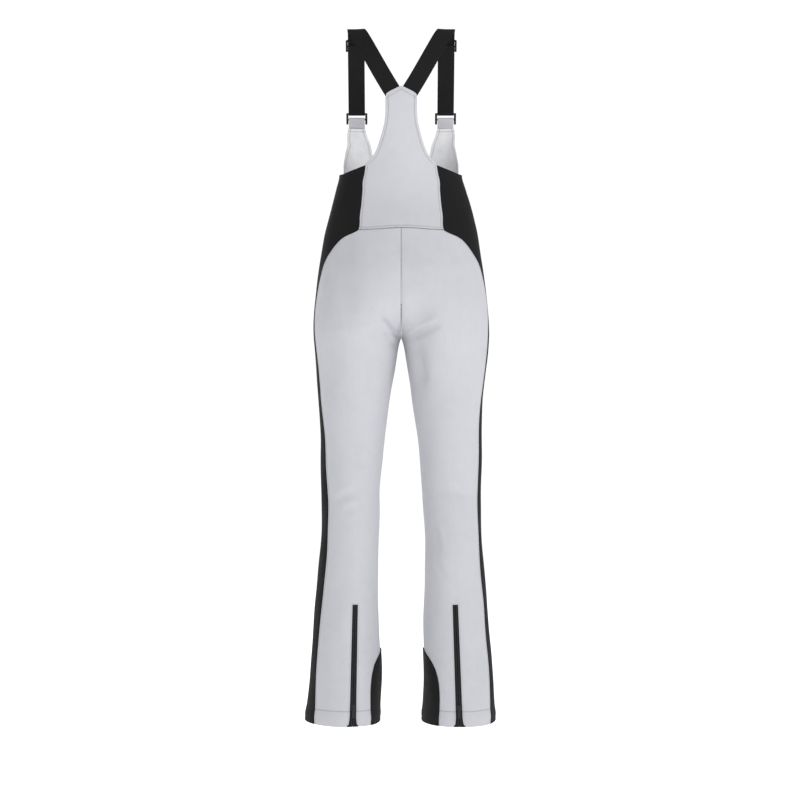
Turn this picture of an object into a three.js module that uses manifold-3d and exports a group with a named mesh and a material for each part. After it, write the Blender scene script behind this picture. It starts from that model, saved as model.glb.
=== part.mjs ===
// Women's ski bib trousers: softshell legs with a racerback bib, elastic shoulder straps with adjusters, zips
// at the front, the hand pockets and the back of each hem, scuff guards at the inner ankles and snow gaiters
// inside the hems. Millimetres, +Z up, the wearer faces -Y and the wearer's left is +X. The origin lies between
// the shoulders, where the straps rest on them. Heights in the constants below are measured up from the hem.
import * as THREE from "three";
import { mergeVertices } from "three/addons/utils/BufferGeometryUtils.js";
import Module from "manifold-3d";

const wasm = await Module();
wasm.setup();
const { Vector2, Vector3 } = THREE;

// ---- Driving dimensions ----
const inseam = 788; // hem to crotch
const riseToYoke = 216; // crotch to the seam between legs and bib
const yokeToRest = 421.5; // yoke seam to the underside of the straps on the shoulders
const hipWidth = 364; // side to side at the widest
const stanceTwist = { left: 14, right: 2 }; // degrees that each lower leg turns its toes out
const stripeSwing = { left: 1, right: 0 }; // share of the swing below that the stripe's rear seam takes as worn

const cloth = 2; // softshell thickness
const seamGap = 0.45; // free space where two panels meet
const fit = 0.35; // free space between a sewn piece and what it lies on

const stripeFront = 20; // black side stripe: side line to its front edge
const bibTopWidth = 63; // racerback width at the strap seams

const strapWidth = 35;
const webbing = 1.4; // thickness of the elastic webbing
const strapX = 94.5; // centre of the front run and of the top of the shoulder
const strapEndGap = 0.8216; // from the middle of the back to the strap's inner corner
const strapEndOverlap = 4; // strap end inside the racerback
const bibCurveRoom = 0.9; // between the flat strap end and the curved racerback
const shoulderFlat = 30; // level length of strap on the shoulder, front to back
const shoulderBend = 32; // middle of the shoulder to the end of the straight front run, front to back

const hemZipLength = 235;
const zipSlot = 11; // width of the zip strip between the panels
const tape = 0.9; // zip tape thickness
const tapeCover = 7; // zip tape sewn under the cloth on each side
const coilWidth = 2.4;
const coilHeight = 1.7;
const chainGap = 1.2; // between the two halves of a chain, where the slider's web runs
const sliderLength = 12;
const sliderWidth = zipSlot - 1.6;
const sliderPlate = 1.2;
const pullLength = 21;
const pullWidth = 5;
const hemSliderRest = 32; // hem to the slider when the zip is closed
const zipStop = 3; // length of the stop at the bottom of the front zip
const zipEnd = 4; // a closed slider to the end of its zip
const frontZipRecess = 0.4; // the straight zips lie a little deeper than the curved cloth
const pocketZipRecess = 1.1;
const bagRoom = 0.6; // pocket zip's tape to the bag

const guardHeight = 141; // scuff guard
const guardHalfWidth = 92; // along the cloth, from the inseam to its edge
const guardThickness = 1.2;
const guardLift = 1.5; // under the patch: both surfaces are faceted

const gaiterTop = 266;
const gaiterBottom = 24;
const gaiterInset = 9; // leg lining to gaiter just below its top seam
const gaiterPinch = 16; // and at its elastic bottom edge
const gaiterThickness = 1.5;
const gussetDepth = 5; // cloth to the gusset behind a hem zip
const gussetHalfWidth = 17;

const pocketBagWidth = 92;
const pocketBagDrop = 60; // bag below the bottom of its zip
const pocketBagThick = 14;
const lawn = 1; // pocket lining thickness

// Buckles
const ringSide = 1.8; // between the strap's edge and the ring's side bar
const ringHeight = 25;
const ringBar = 3.2;
const ringThick = 3;
const adjusterSide = 0.9;
const adjusterHeight = 26;
const adjusterRail = 3.6;
const adjusterBar = 1.8;
const ringWidth = strapWidth + 2 * (ringSide + ringBar);
const adjusterWidth = strapWidth + 2 * (adjusterSide + adjusterRail);
const tabWidth = 26;
const tabCloth = 1.6;
const tabRise = 11; // bib's top edge to the ring's lower bar
const tabBase = 12; // tab sewn down over the bib

// ---- Heights worked out from them ----
// The tables of seams and sections are drafted for one size and graded to the one asked for.
const drafted = { inseam: 788, rise: 216, hip: 364, bib: 421.5 };
const grade = hipWidth / drafted.hip;
const legHeight = (h) => (h * inseam) / drafted.inseam; // of a leg station
const hipHeight = (h) => inseam + (h * riseToYoke) / drafted.rise; // of a station between crotch and yoke
const yoke = inseam + riseToYoke;
const bibHeight = (h) => yoke + (h * yokeToRest) / drafted.bib; // of a station above the yoke

const rest = yoke + yokeToRest;
const flyBottom = hipHeight(72);
const neckBottom = bibHeight(120);
const sideTop = bibHeight(116); // black side panel under the arm
const backCorner = bibHeight(130); // where the back bib leaves the side panel
const bibShoulder = bibHeight(274); // racerback: outer ends of the strap seams
const bibPeak = bibHeight(292); // racerback: where the strap seams meet
const frontTop = bibHeight(234); // top edge of the front bib's shoulder ends
const hemStraight = hemZipLength + 25; // up to here the leg is a straight cone, so that the zip is straight
const pocketBottom = flyBottom - 2;
const pocketTop = hipHeight(204);

// Each strap enters the racerback square to its sloping seam, just clear of the other strap.
const roofLength = Math.hypot(bibTopWidth / 2, bibPeak - bibShoulder);
const [roofCos, roofSin] = [bibTopWidth / 2 / roofLength, (bibPeak - bibShoulder) / roofLength];
const strapEndX = (strapWidth / 2) * roofCos + strapEndOverlap * roofSin + strapEndGap;

const light = new THREE.MeshStandardMaterial({ color: 0xd4d5da, roughness: 0.85, metalness: 0 });
const dark = new THREE.MeshStandardMaterial({ color: 0x1b1b1d, roughness: 0.8, metalness: 0 });
const elastic = new THREE.MeshStandardMaterial({ color: 0x1c1c1e, roughness: 0.9, metalness: 0 });
const nylon = new THREE.MeshStandardMaterial({ color: 0x1f2022, roughness: 0.5, metalness: 0 });
const metal = new THREE.MeshStandardMaterial({ color: 0x2a2b2d, roughness: 0.35, metalness: 0.8 });
const lining = new THREE.MeshStandardMaterial({ color: 0x2b2c30, roughness: 0.9, metalness: 0 });

// ---- Smooth tables ----
// A monotone cubic through [at, value] pairs: level between equal values and straight through points in line.
function curve(pairs) {
  const n = pairs.length;
  const step = pairs.slice(1).map((p, i) => p[0] - pairs[i][0]);
  const rise = pairs.slice(1).map((p, i) => (p[1] - pairs[i][1]) / step[i]);
  const slope = pairs.map((p, i) => {
    if (i === 0) return rise[0];
    if (i === n - 1) return rise[n - 2];
    const [a, b] = [rise[i - 1], rise[i]];
    if (a * b <= 0) return 0;
    const [wa, wb] = [2 * step[i] + step[i - 1], step[i] + 2 * step[i - 1]];
    return (wa + wb) / (wa / a + wb / b);
  });
  return (at) => {
    if (at <= pairs[0][0]) return pairs[0][1];
    if (at >= pairs[n - 1][0]) return pairs[n - 1][1];
    const i = pairs.findIndex((p) => p[0] > at) - 1;
    const t = (at - pairs[i][0]) / step[i];
    const [a, b] = [pairs[i][1], pairs[i + 1][1]];
    const [ma, mb] = [slope[i] * step[i], slope[i + 1] * step[i]];
    const t2 = t * t;
    const t3 = t2 * t;
    return (2 * t3 - 3 * t2 + 1) * a + (t3 - 2 * t2 + t) * ma + (3 * t2 - 2 * t3) * b + (t3 - t2) * mb;
  };
}

// Stations of the leg and body sections: [height, outermost x, centre x, centre y, half depth behind, half
// depth in front]. A section is two ellipses side by side that merge above the crotch.
const legStations = [
  [0, 198.4, 121.9, 0, 97, 99],
  [260, 176, 112, 2, 78, 77],
  [321, 171.6, 110, 3, 75, 72],
  [371, 168.2, 108, 3, 72, 68],
  [421, 166, 105.9, 2, 70, 66],
  [471, 165.4, 104.5, -2, 69, 68],
  [521, 166, 102.7, -4, 72, 71],
  [571, 167.2, 101.2, -5, 77, 76],
  [621, 169.6, 99.4, -6, 84, 82],
  [671, 172.3, 96.6, -6, 92, 88],
  [721, 175.6, 94, -4, 100, 93],
  [771, 179.8, 92.4, -1, 107, 97],
  [788, 181, 90.5, 0, 110, 98],
];
const hipStations = [
  // height above the crotch, outermost x, centre x behind, centre y, half depth behind
  [10, 181.6, 87, 0, 113],
  [30, 182, 74, 0, 118],
  [54, 181.4, 60, 0, 123.5],
  [82, 179, 46, 0, 127],
  [132, 172.6, 30, 0, 124],
  [182, 164, 16, 0, 112],
  [216, 158, 8, 0, 103],
];
const bibStations = [
  [16, 154.5, 5, 0, 99],
  [66, 143.5, 0, 0, 88],
  [91, 136, 0, 0, 85],
  [116, 128.5, 0, 0, 84],
  [166, 127, 0, 0, 88],
  [216, 130, 0, 0, 96],
  [258, 133, 0, 0, 101],
  [300, 134, 0, 0, 103],
];
// The front has its own centre and depth: flat behind the zip, fuller over the bust.
const frontDepth = 104;
const frontStations = [
  // height, centre x in front, half depth in front, squareness
  [inseam - 30, 90.5, 98, 2],
  [inseam, 90.5, 98, 2],
  [hipHeight(12), 85, 98.6, 2],
  [hipHeight(28), 62, 100, 2],
  [hipHeight(44), 32, 102, 2.1],
  [hipHeight(58), 8, 103.5, 2.2],
  [hipHeight(68), 0, frontDepth, 2.2],
  [flyBottom, 0, frontDepth, 2.2],
  [neckBottom, 0, frontDepth, 2.3],
  [bibHeight(124), 0, frontDepth, 2.3],
  [bibHeight(156), 0, 114, 2.9],
  [bibHeight(186), 0, 121, 4],
  [bibHeight(211), 0, 120, 6],
  [bibHeight(240), 0, 113, 8],
];

const bodyStations = [
  ...legStations.map(([h, ...numbers]) => [legHeight(h), ...numbers]),
  ...hipStations.map(([h, ...numbers]) => [hipHeight(h), ...numbers]),
  ...bibStations.map(([h, ...numbers]) => [bibHeight(h), ...numbers]),
];
const column = (rows, k, by = 1) => curve(rows.map((r) => [r[0], r[k] * by]));
const legSections = bodyStations.slice(0, legStations.length);
const outerAt = column(bodyStations, 1, grade);
const centreBackAt = column(bodyStations, 2, grade);
const centreYAt = column(bodyStations, 3);
const depthBackAt = column(bodyStations, 4, grade);
const centreFrontLeg = column(legSections, 2, grade);
const depthFrontLeg = column(legSections, 5, grade);
const centreFrontBody = column(frontStations, 1, grade);
const depthFrontBody = column(frontStations, 2, grade);
const squareFrontBody = column(frontStations, 3);
const twistShare = curve([[legHeight(430), 1], [legHeight(660), 0]]);

// One half section (behind or in front) at a height, in the left leg's frame.
function sectionAt(face, z) {
  if (z < hemStraight) {
    const [low, high, t] = [sectionNumbers(face, 0), sectionNumbers(face, hemStraight), z / hemStraight];
    return low.map((v, i) => v + (high[i] - v) * t);
  }
  return sectionNumbers(face, z);
}
function sectionNumbers(face, z) {
  const outer = outerAt(z);
  const inFront = face === "front";
  const above = z > inseam;
  const centre = inFront ? (above ? centreFrontBody(z) : centreFrontLeg(z)) : centreBackAt(z);
  const depth = inFront ? (above ? depthFrontBody(z) : depthFrontLeg(z)) : depthBackAt(z);
  const square = inFront && above ? squareFrontBody(z) : 2;
  return [centre, outer - centre, centreYAt(z), depth, square];
}

const SAMPLES = 60;
const sectionCache = new Map();
// The half section as points with their distance along the cloth from the side line.
function sectionLine(face, z) {
  const key = face + z.toFixed(3);
  if (sectionCache.has(key)) return sectionCache.get(key);
  const [centre, half, middle, depth, square] = sectionAt(face, z);
  const reach = Math.max(-1, Math.min(0, -centre / half));
  const last = z >= inseam ? Math.PI - Math.acos(Math.pow(-reach, square / 2)) : Math.PI;
  const line = [];
  let along = 0;
  for (let i = 0; i <= SAMPLES; i++) {
    const a = (last * i) / SAMPLES;
    const [c, s] = [Math.cos(a), Math.sin(a)];
    const x = centre + half * Math.sign(c) * Math.pow(Math.abs(c), 2 / square);
    const y = middle + (face === "front" ? -1 : 1) * depth * Math.pow(Math.max(s, 0), 2 / square);
    if (i) along += Math.hypot(x - line[i - 1].x, y - line[i - 1].y);
    line.push({ x, y, along });
  }
  const made = { line, length: along, centre, middle };
  sectionCache.set(key, made);
  return made;
}
const backLength = (z) => sectionLine("back", z).length;
const frontLength = (z) => sectionLine("front", z).length;

// A point of the cloth's outer surface: s is measured from the side line, positive towards the back.
function onBody(z, s, twist) {
  const { line, length, middle } = sectionLine(s < 0 ? "front" : "back", z);
  const along = Math.min(Math.abs(s), length);
  const i = Math.max(1, line.findIndex((p) => p.along >= along - 1e-9));
  const [p, q] = [line[i - 1], line[i]];
  const t = (along - p.along) / (q.along - p.along || 1);
  const at = new Vector2(p.x + (q.x - p.x) * t, p.y + (q.y - p.y) * t);
  const turn = (z < inseam ? twistShare(z) : 0) * THREE.MathUtils.degToRad(twist);
  if (turn) at.rotateAround(new Vector2(centreBackAt(z), middle), turn);
  return new Vector3(at.x, at.y, z);
}
// The outward direction there.
function facing(z, s, twist) {
  const [ds, dz] = [1, 0.5];
  const [low, high] = [-frontLength(z), backLength(z)];
  const clamp = (v) => Math.min(high - 0.05, Math.max(low + 0.05, v));
  const across = onBody(z, clamp(s + ds), twist).sub(onBody(z, clamp(s - ds), twist));
  const up = onBody(z + dz, s, twist).sub(onBody(Math.max(0, z - dz), s, twist));
  return across.cross(up).normalize();
}
// The distance from the side line at which the section reaches x.
function alongAtX(face, z, x) {
  const { line } = sectionLine(face, z);
  const i = line.findIndex((p) => p.x <= x);
  if (i <= 0) return i ? line.at(-1).along : 0;
  const [p, q] = [line[i - 1], line[i]];
  return p.along + ((q.along - p.along) * (p.x - x)) / (p.x - q.x);
}

// ---- Seams, as distances from the side line ----
const seamFromX = (face, stations) =>
  curve(stations.map(([z, x]) => [z, (face === "front" ? -1 : 1) * alongAtX(face, z, x * grade)]));
const backSeam = (() => {
  const calf = [[0, 53], [122, 42], [222, 37], [321, 35], [421, 30]];
  const thigh = [[521, 31], [621, 35], [721, 33], [788, 29]];
  const hip = [[32, 28], [70, 29], [98, 31]];
  const hipArc = [[127, 166.5], [150, 159.5], [175, 145], [199, 124], [216, 87.5]];
  const bibSide = [[31, 85], [56, 82], [81, 80], [106, 78], [130, 73.5]];
  return curve([
    ...[...calf, ...thigh].map(([h, s]) => [legHeight(h), s]),
    ...hip.map(([h, s]) => [hipHeight(h), s]),
    ...hipArc.map(([h, x]) => [hipHeight(h), alongAtX("back", hipHeight(h), x * grade)]),
    ...bibSide.map(([h, x]) => [bibHeight(h), alongAtX("back", bibHeight(h), x * grade)]),
  ]);
})();
const frontSeam = curve([
  [0, -stripeFront * 1.6],
  [legHeight(420), -stripeFront],
  [inseam, -stripeFront],
  [neckBottom, -stripeFront - 14],
]);
// As worn, the rear seam of the stripe swings forward over the calf of the leg that is turned out.
const swingAt = curve([[0, -11], [110, -12], [190, -5], [300, 0]].map(([h, s]) => [legHeight(h), s]));
const stripeSeam = (side) => (z) => backSeam(z) + stripeSwing[side] * swingAt(z);
const backArmhole = seamFromX("back", [
  [backCorner, 73.5],
  [bibHeight(140), 66],
  [bibHeight(152), 56.5],
  [bibHeight(178), 45.7],
  [bibHeight(203), 38.4],
  [bibHeight(222), 34],
  [bibHeight(246), 32.2],
  [bibShoulder, bibTopWidth / 2],
  [bibPeak, 2.4],
]);
const frontArmhole = seamFromX("front", [
  [neckBottom, 123.5],
  [bibHeight(136), 122.5],
  [bibHeight(174), 118.5],
  [bibHeight(204), 115],
  [frontTop, 113],
]);
const neckline = seamFromX("front", [
  [neckBottom, zipSlot / 2],
  [bibHeight(122.5), 17],
  [bibHeight(128), 30],
  [bibHeight(140), 45],
  [bibHeight(174), 60],
  [bibHeight(204), 67],
  [frontTop, 76.5],
]);
const sideTopEdge = curve([
  [-1, neckBottom],
  [-0.35, sideTop + 1],
  [0, sideTop],
  [0.5, sideTop + 5],
  [1, backCorner],
]);

// How far a panel's edge keeps from its seam, so that the gap square to the seam is even.
const edgeInset = (seam, z) => (seamGap / 2) * Math.hypot(1, (seam(z + 1) - seam(z - 1)) / 2);

// ---- Solids from grids ----
// A cloth panel as a closed solid: at(i, j) gives [outer point, inner point] of a grid, with some cells left out.
function shell(rows, cols, at, mirror, skip = () => false) {
  const position = [];
  for (const layer of [0, 1])
    for (let i = 0; i <= rows; i++)
      for (let j = 0; j <= cols; j++) {
        const p = at(i, j)[layer];
        position.push(mirror ? -p.x : p.x, p.y, p.z);
      }
  const inner = (rows + 1) * (cols + 1);
  const id = (i, j) => i * (cols + 1) + j;
  const open = (i, j) => i < 0 || j < 0 || i >= rows || j >= cols || skip(i, j);
  const index = [];
  const wall = (p, q) => index.push(q, p, p + inner, q, p + inner, q + inner);
  for (let i = 0; i < rows; i++)
    for (let j = 0; j < cols; j++) {
      if (open(i, j)) continue;
      const [a, b, c, d] = [id(i, j), id(i + 1, j), id(i + 1, j + 1), id(i, j + 1)];
      index.push(a, d, c, a, c, b, a + inner, c + inner, d + inner, a + inner, b + inner, c + inner);
      if (open(i - 1, j)) wall(a, d);
      if (open(i, j + 1)) wall(d, c);
      if (open(i + 1, j)) wall(c, b);
      if (open(i, j - 1)) wall(b, a);
    }
  return indexed(position, index, mirror);
}
function indexed(position, index, flip) {
  for (let i = 1; flip && i < index.length; i += 3) [index[i], index[i + 1]] = [index[i + 1], index[i]];
  const geometry = new THREE.BufferGeometry();
  geometry.setAttribute("position", new THREE.Float32BufferAttribute(position, 3));
  geometry.setIndex(index);
  const flat = geometry.toNonIndexed();
  flat.computeVertexNormals();
  return flat;
}
// A pair of points through the cloth, `out` proud of the body surface and `thick` deep.
function layer(z, s, twist, out, thick) {
  const n = facing(z, s, twist);
  const p = onBody(z, s, twist);
  return [p.clone().addScaledVector(n, out), p.addScaledVector(n, out - thick)];
}
function volumeOf(geometry) {
  const p = geometry.getAttribute("position");
  const corner = (i) => new Vector3().fromBufferAttribute(p, i);
  let sum = 0;
  for (let i = 0; i < p.count; i += 3) sum += corner(i).dot(corner(i + 1).cross(corner(i + 2)));
  return sum / 6;
}

// ---- Joins and cuts ----
function solidOf(geometry) {
  const bare = new THREE.BufferGeometry().setAttribute("position", geometry.getAttribute("position"));
  if (geometry.index) bare.setIndex(geometry.index);
  const merged = mergeVertices(bare, 1e-4);
  return new wasm.Manifold(
    new wasm.Mesh({
      numProp: 3,
      vertProperties: merged.attributes.position.array,
      triVerts: new Uint32Array(merged.index.array),
    }),
  );
}
function geometryOf(solid) {
  const mesh = solid.getMesh();
  return indexed([...mesh.vertProperties], [...mesh.triVerts], false);
}
const box = (w, d, h, x = 0, y = 0, z = 0) => new THREE.BoxGeometry(w, d, h).translate(x, y, z);
const join = (...parts) => geometryOf(parts.map(solidOf).reduce((a, b) => a.add(b)));

// A rounded rectangle, as an outline or as a hole.
function roundedRect(w, h, r, y = 0, path = new THREE.Shape()) {
  const [x0, x1, y0, y1] = [-w / 2, w / 2, y - h / 2, y + h / 2];
  path.moveTo(x0 + r, y0).lineTo(x1 - r, y0).absarc(x1 - r, y0 + r, r, -Math.PI / 2, 0, false);
  path.lineTo(x1, y1 - r).absarc(x1 - r, y1 - r, r, 0, Math.PI / 2, false);
  path.lineTo(x0 + r, y1).absarc(x0 + r, y1 - r, r, Math.PI / 2, Math.PI, false);
  path.lineTo(x0, y0 + r).absarc(x0 + r, y0 + r, r, Math.PI, 1.5 * Math.PI, false);
  return path;
}
// A flat plate in the X-Z plane, centred on y = 0, with holes.
function plate(outline, holes, thick) {
  outline.holes = holes;
  return new THREE.ExtrudeGeometry(outline, { depth: thick, bevelEnabled: false, curveSegments: 3 })
    .translate(0, 0, -thick / 2)
    .rotateX(Math.PI / 2);
}

const pants = new THREE.Group();
pants.name = "ski_bib_pants";
const body = new THREE.Group(); // everything in heights above the hem
body.position.z = -rest;
pants.add(body);
function add(name, geometry, material, parent = body) {
  const mesh = new THREE.Mesh(geometry, material);
  mesh.name = name;
  parent.add(mesh);
  return mesh;
}

// ---- Cloth panels ----
const steps = (a, b, n) => Array.from({ length: n + 1 }, (_, k) => a + ((b - a) * k) / n);
const legLevels = [
  ...steps(0, hemZipLength, 4),
  ...[300, 360, 420, 475, 530, 590, 650, 705, 745, 772].map(legHeight),
  inseam,
  ...[0.6, 2.4, 6, 13, 24, 40, 56].map(hipHeight),
  pocketBottom,
  flyBottom,
  ...steps(pocketBottom, pocketTop, 4).slice(1),
  yoke - seamGap / 2,
];
const [slotInset, hemGapInset] = [zipSlot / 2 + seamGap, seamGap / 2];

// A leg panel from seam to seam, towards the back, with a slot left out for a zip. Narrow columns beside the
// slot keep the cloth close to the zip's tape and to the gusset behind it.
const coverCols = [tapeCover + 1.5, gussetHalfWidth - zipSlot / 2 + 1];
function legPanel({ side, mirror, start, end, slot, colsBefore, colsAfter }) {
  const edges = (z) => {
    const [a, b, middle] = [start(z), end(z), slot.middle(z)];
    const share = Math.min(1, (b - a) / (4 * (slotInset + coverCols[1])));
    const [near, far] = [middle - slotInset * share, middle + slotInset * share];
    const [inner, outer] = coverCols.map((v) => v * share);
    return [
      ...steps(a, near - outer, colsBefore),
      near - inner,
      near,
      far,
      far + inner,
      ...steps(far + outer, b, colsAfter),
    ];
  };
  const at = (i, j) => layer(legLevels[i], edges(legLevels[i])[j], stanceTwist[side], 0, cloth);
  const slotCol = colsBefore + 2;
  const inSlot = (i) => legLevels[i] >= slot.from - 0.01 && legLevels[i + 1] <= slot.to + 0.01;
  const cols = colsBefore + colsAfter + 5;
  return shell(legLevels.length - 1, cols, at, mirror, (i, j) => j === slotCol && inSlot(i));
}

// Where the back of the leg is, on the section's quarter turn.
const quarterAt = (z) => sectionLine("back", z).line[SAMPLES / 2].along;
const backStart = (z) => backSeam(z) + edgeInset(backSeam, z);
const backEnd = (z) => backLength(z) - hemGapInset;
// Above the zip the slot's column keeps its share of the panel's width.
const shareOf = (start, end, middle, z) => (middle - start(z)) / (end(z) - start(z));
const hemSlot = (() => {
  const share = shareOf(backStart, backEnd, quarterAt(hemZipLength), hemZipLength);
  const above = (z) => backStart(z) + (backEnd(z) - backStart(z)) * share;
  const middle = (z) => (z <= hemZipLength ? quarterAt(z) : above(z));
  return { from: 0, to: hemZipLength, middle };
})();

// The front panel's inner edge is the inseam, then the centre seam, then the front zip.
const frontStart = (z) => frontSeam(z) - edgeInset(frontSeam, z);
const frontEnd = (z) => -frontLength(z) + (z > flyBottom - 1 ? zipSlot / 2 + seamGap / 2 : hemGapInset);
const pocketX = { bottom: 120, top: 97 };
const pocketShare = (z) => (z - pocketBottom) / (pocketTop - pocketBottom);
const pocketLineX = (z) => (pocketX.bottom + (pocketX.top - pocketX.bottom) * pocketShare(z)) * grade;
const pocketAlong = (z) => -alongAtX("front", z, pocketLineX(z));
const pocketSlot = (() => {
  const low = shareOf(frontStart, frontEnd, pocketAlong(pocketBottom), pocketBottom);
  const middle = (z) =>
    z < pocketBottom ? frontStart(z) + (frontEnd(z) - frontStart(z)) * low : pocketAlong(Math.min(z, yoke));
  return { from: pocketBottom, to: pocketTop, middle };
})();
function backLeg(side, mirror) {
  const seam = stripeSeam(side);
  const start = (z) => seam(z) + edgeInset(seam, z);
  return legPanel({ side, mirror, start, end: backEnd, slot: hemSlot, colsBefore: 3, colsAfter: 3 });
}
const frontLeg = (side, mirror) =>
  legPanel({ side, mirror, start: frontEnd, end: frontStart, slot: pocketSlot, colsBefore: 5, colsAfter: 2 });

const bibShares = steps(0, 1, 5);
function sidePanel(side, mirror) {
  const twist = stanceTwist[side];
  const rearSeam = stripeSeam(side);
  const cols = 6;
  const levels = legLevels.slice(0, -1);
  const rows = levels.length + bibShares.length - 1;
  const at = (i, j) => {
    const u = (2 * j) / cols - 1;
    const top = sideTopEdge(u);
    const z = i < levels.length ? levels[i] : yoke + (top - yoke) * bibShares[i - levels.length];
    const start = frontSeam(z) + edgeInset(frontSeam, z);
    const end = rearSeam(z) - edgeInset(rearSeam, z);
    return layer(z, start + ((end - start) * j) / cols, twist, 0, cloth);
  };
  return shell(rows, cols, at, mirror);
}

function backBib() {
  const low = steps(yoke + seamGap / 2, backCorner, 5);
  const high = [140, 152, 165, 180, 195, 212, 232, 254].map(bibHeight);
  const levels = [...low, ...high, bibShoulder, bibShoulder + (bibPeak - bibShoulder) / 2, bibPeak];
  const cols = 10;
  const at = (i, j) => {
    const z = levels[i];
    const edge = z <= backCorner ? backSeam(z) + edgeInset(backSeam, z) : backArmhole(z);
    const halfWidth = backLength(z) - edge;
    const u = (2 * j) / cols - 1; // from the wearer's left side to the right
    const [outer, inner] = layer(z, backLength(z) - Math.abs(u) * halfWidth, 0, 0, cloth);
    if (u > 0) [outer, inner].forEach((p) => (p.x = -p.x));
    return [outer, inner];
  };
  return shell(levels.length - 1, cols, at, false);
}

function frontBib(mirror) {
  const low = steps(yoke + seamGap / 2, neckBottom, 5);
  const high = [122.5, 128, 136, 148, 164, 182, 204].map(bibHeight);
  const levels = [...low, ...high, frontTop];
  const cols = 6;
  const at = (i, j) => {
    const z = levels[i];
    const inner = z <= neckBottom ? -frontLength(z) + zipSlot / 2 + seamGap / 2 : neckline(z);
    const outer = z <= neckBottom ? frontSeam(z) - edgeInset(frontSeam, z) : frontArmhole(z);
    return layer(z, inner + ((outer - inner) * j) / cols, 0, 0, cloth);
  };
  return shell(levels.length - 1, cols, at, mirror);
}

// The patch on the inner ankle, an arch centred on the inseam.
function scuffGuard(side, mirror) {
  const twist = stanceTwist[side];
  const levels = [0, 0.2, 0.4, 0.56, 0.7, 0.81, 0.9, 0.96, 0.99].map((v) => v * guardHeight);
  const cols = 8;
  const at = (i, j) => {
    const z = levels[i];
    const half = guardHalfWidth * Math.sqrt(1 - Math.pow(z / guardHeight, 2.6));
    const u = (2 * j) / cols - 1; // from behind the inseam to in front of it
    const s = u < 0 ? backLength(z) + u * half : -frontLength(z) + u * half;
    return layer(z, s, twist, guardLift + guardThickness, guardThickness);
  };
  return shell(levels.length - 1, cols, at, mirror);
}

// A sleeve inside the leg, sewn to it round its top and drawn in by elastic at its lower edge.
function gaiter(side, mirror) {
  const around = 24;
  const facetRoom = 2;
  const belowSeam = gaiterTop - 26;
  const inset = curve([[gaiterBottom, gaiterPinch], [belowSeam, gaiterInset], [gaiterTop, facetRoom]]);
  const ring = (z, deep) =>
    Array.from({ length: around }, (_, k) => {
      const turn = (2 * k) / around;
      const s = turn <= 1 ? turn * backLength(z) : (turn - 2) * frontLength(z);
      return layer(z, s, stanceTwist[side], -cloth - inset(z) - deep, 0)[0];
    });
  const levels = [...steps(gaiterBottom, belowSeam, 3), gaiterTop - 10, gaiterTop];
  return sleeve(levels.map((z) => [ring(z, 0), ring(z, gaiterThickness)]), mirror);
}
// A tube wall from rings of [outer, inner] points.
function sleeve(rings, mirror) {
  const n = rings[0][0].length;
  const points = [0, 1].flatMap((k) => rings.flatMap((r) => r[k]));
  const position = points.flatMap((p) => [mirror ? -p.x : p.x, p.y, p.z]);
  const inner = rings.length * n;
  const index = [];
  const quad = (a, b, c, d) => index.push(a, b, c, a, c, d);
  for (let k = 0; k < n; k++) {
    const m = (k + 1) % n;
    for (let i = 0; i < rings.length - 1; i++) {
      const [low, high] = [i * n, (i + 1) * n];
      quad(low + k, low + m, high + m, high + k);
      quad(inner + low + k, inner + high + k, inner + high + m, inner + low + m);
    }
    const top = (rings.length - 1) * n;
    quad(k, inner + k, inner + m, m);
    quad(top + k, top + m, inner + top + m, inner + top + k);
  }
  return indexed(position, index, mirror);
}

// ---- Zips ----
// A straight zip lies in its own frame: x across it, y into the garment from the cloth's face, z along it.
function zipFrame(foot, head, outward) {
  const along = head.clone().sub(foot).normalize();
  const across = along.clone().cross(outward).normalize();
  const group = new THREE.Group();
  group.matrix.makeBasis(across, along.clone().cross(across), along).setPosition(foot);
  group.matrixAutoUpdate = false;
  body.add(group);
  return group;
}
const chainDepth = cloth + fit + tape / 2; // of the middle of the tape
const plateDepth = coilHeight / 2 + fit + sliderPlate / 2; // chain's middle to a slider plate's middle
const axleRise = 2.6; // slider's outer plate to the pull's axle
const axleSize = 1.4;
const archWidth = 2;
const archSpan = 6.4;
const archBar = 1.2;
function sliderBody() {
  const web = chainGap - 2 * fit;
  const outerFace = chainDepth - plateDepth - sliderPlate / 2;
  const archTop = outerFace - axleRise - axleSize / 2 - fit - archBar;
  const postHeight = outerFace - archTop + 0.4;
  return join(
    box(sliderWidth, sliderPlate, sliderLength, 0, chainDepth - plateDepth, 0),
    box(sliderWidth, sliderPlate, sliderLength, 0, chainDepth + plateDepth, 0),
    box(web, 2 * plateDepth, sliderLength / 2, 0, chainDepth, 0),
    box(archWidth, postHeight, archBar, 0, archTop + postHeight / 2, archSpan / 2),
    box(archWidth, postHeight, archBar, 0, archTop + postHeight / 2, -archSpan / 2),
    box(archWidth, archBar, archSpan + archBar, 0, archTop + archBar / 2, 0),
  );
}
const axleDepth = chainDepth - plateDepth - sliderPlate / 2 - axleRise;
function pullTab() {
  const armGap = archWidth + 2 * fit;
  const armWidth = (pullWidth - armGap) / 2;
  const armLength = 7;
  const armX = (armGap + armWidth) / 2;
  const arm = (side) => box(armWidth, axleSize, armLength, side * armX, axleDepth, (axleSize - armLength) / 2);
  const tab = pullLength - armLength + 1;
  return join(
    box(pullWidth, axleSize, axleSize, 0, axleDepth, 0),
    arm(-1),
    arm(1),
    box(pullWidth, axleSize, tab, 0, axleDepth, 1 + axleSize / 2 - armLength - tab / 2),
  );
}
function sliderAndPull(name, frame, at) {
  const slider = add(`${name}_slider`, sliderBody().translate(0, 0, at), metal, frame);
  const pull = add(`${name}_pull`, pullTab().translate(0, 0, at), metal, frame);
  return [slider, pull];
}
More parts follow.
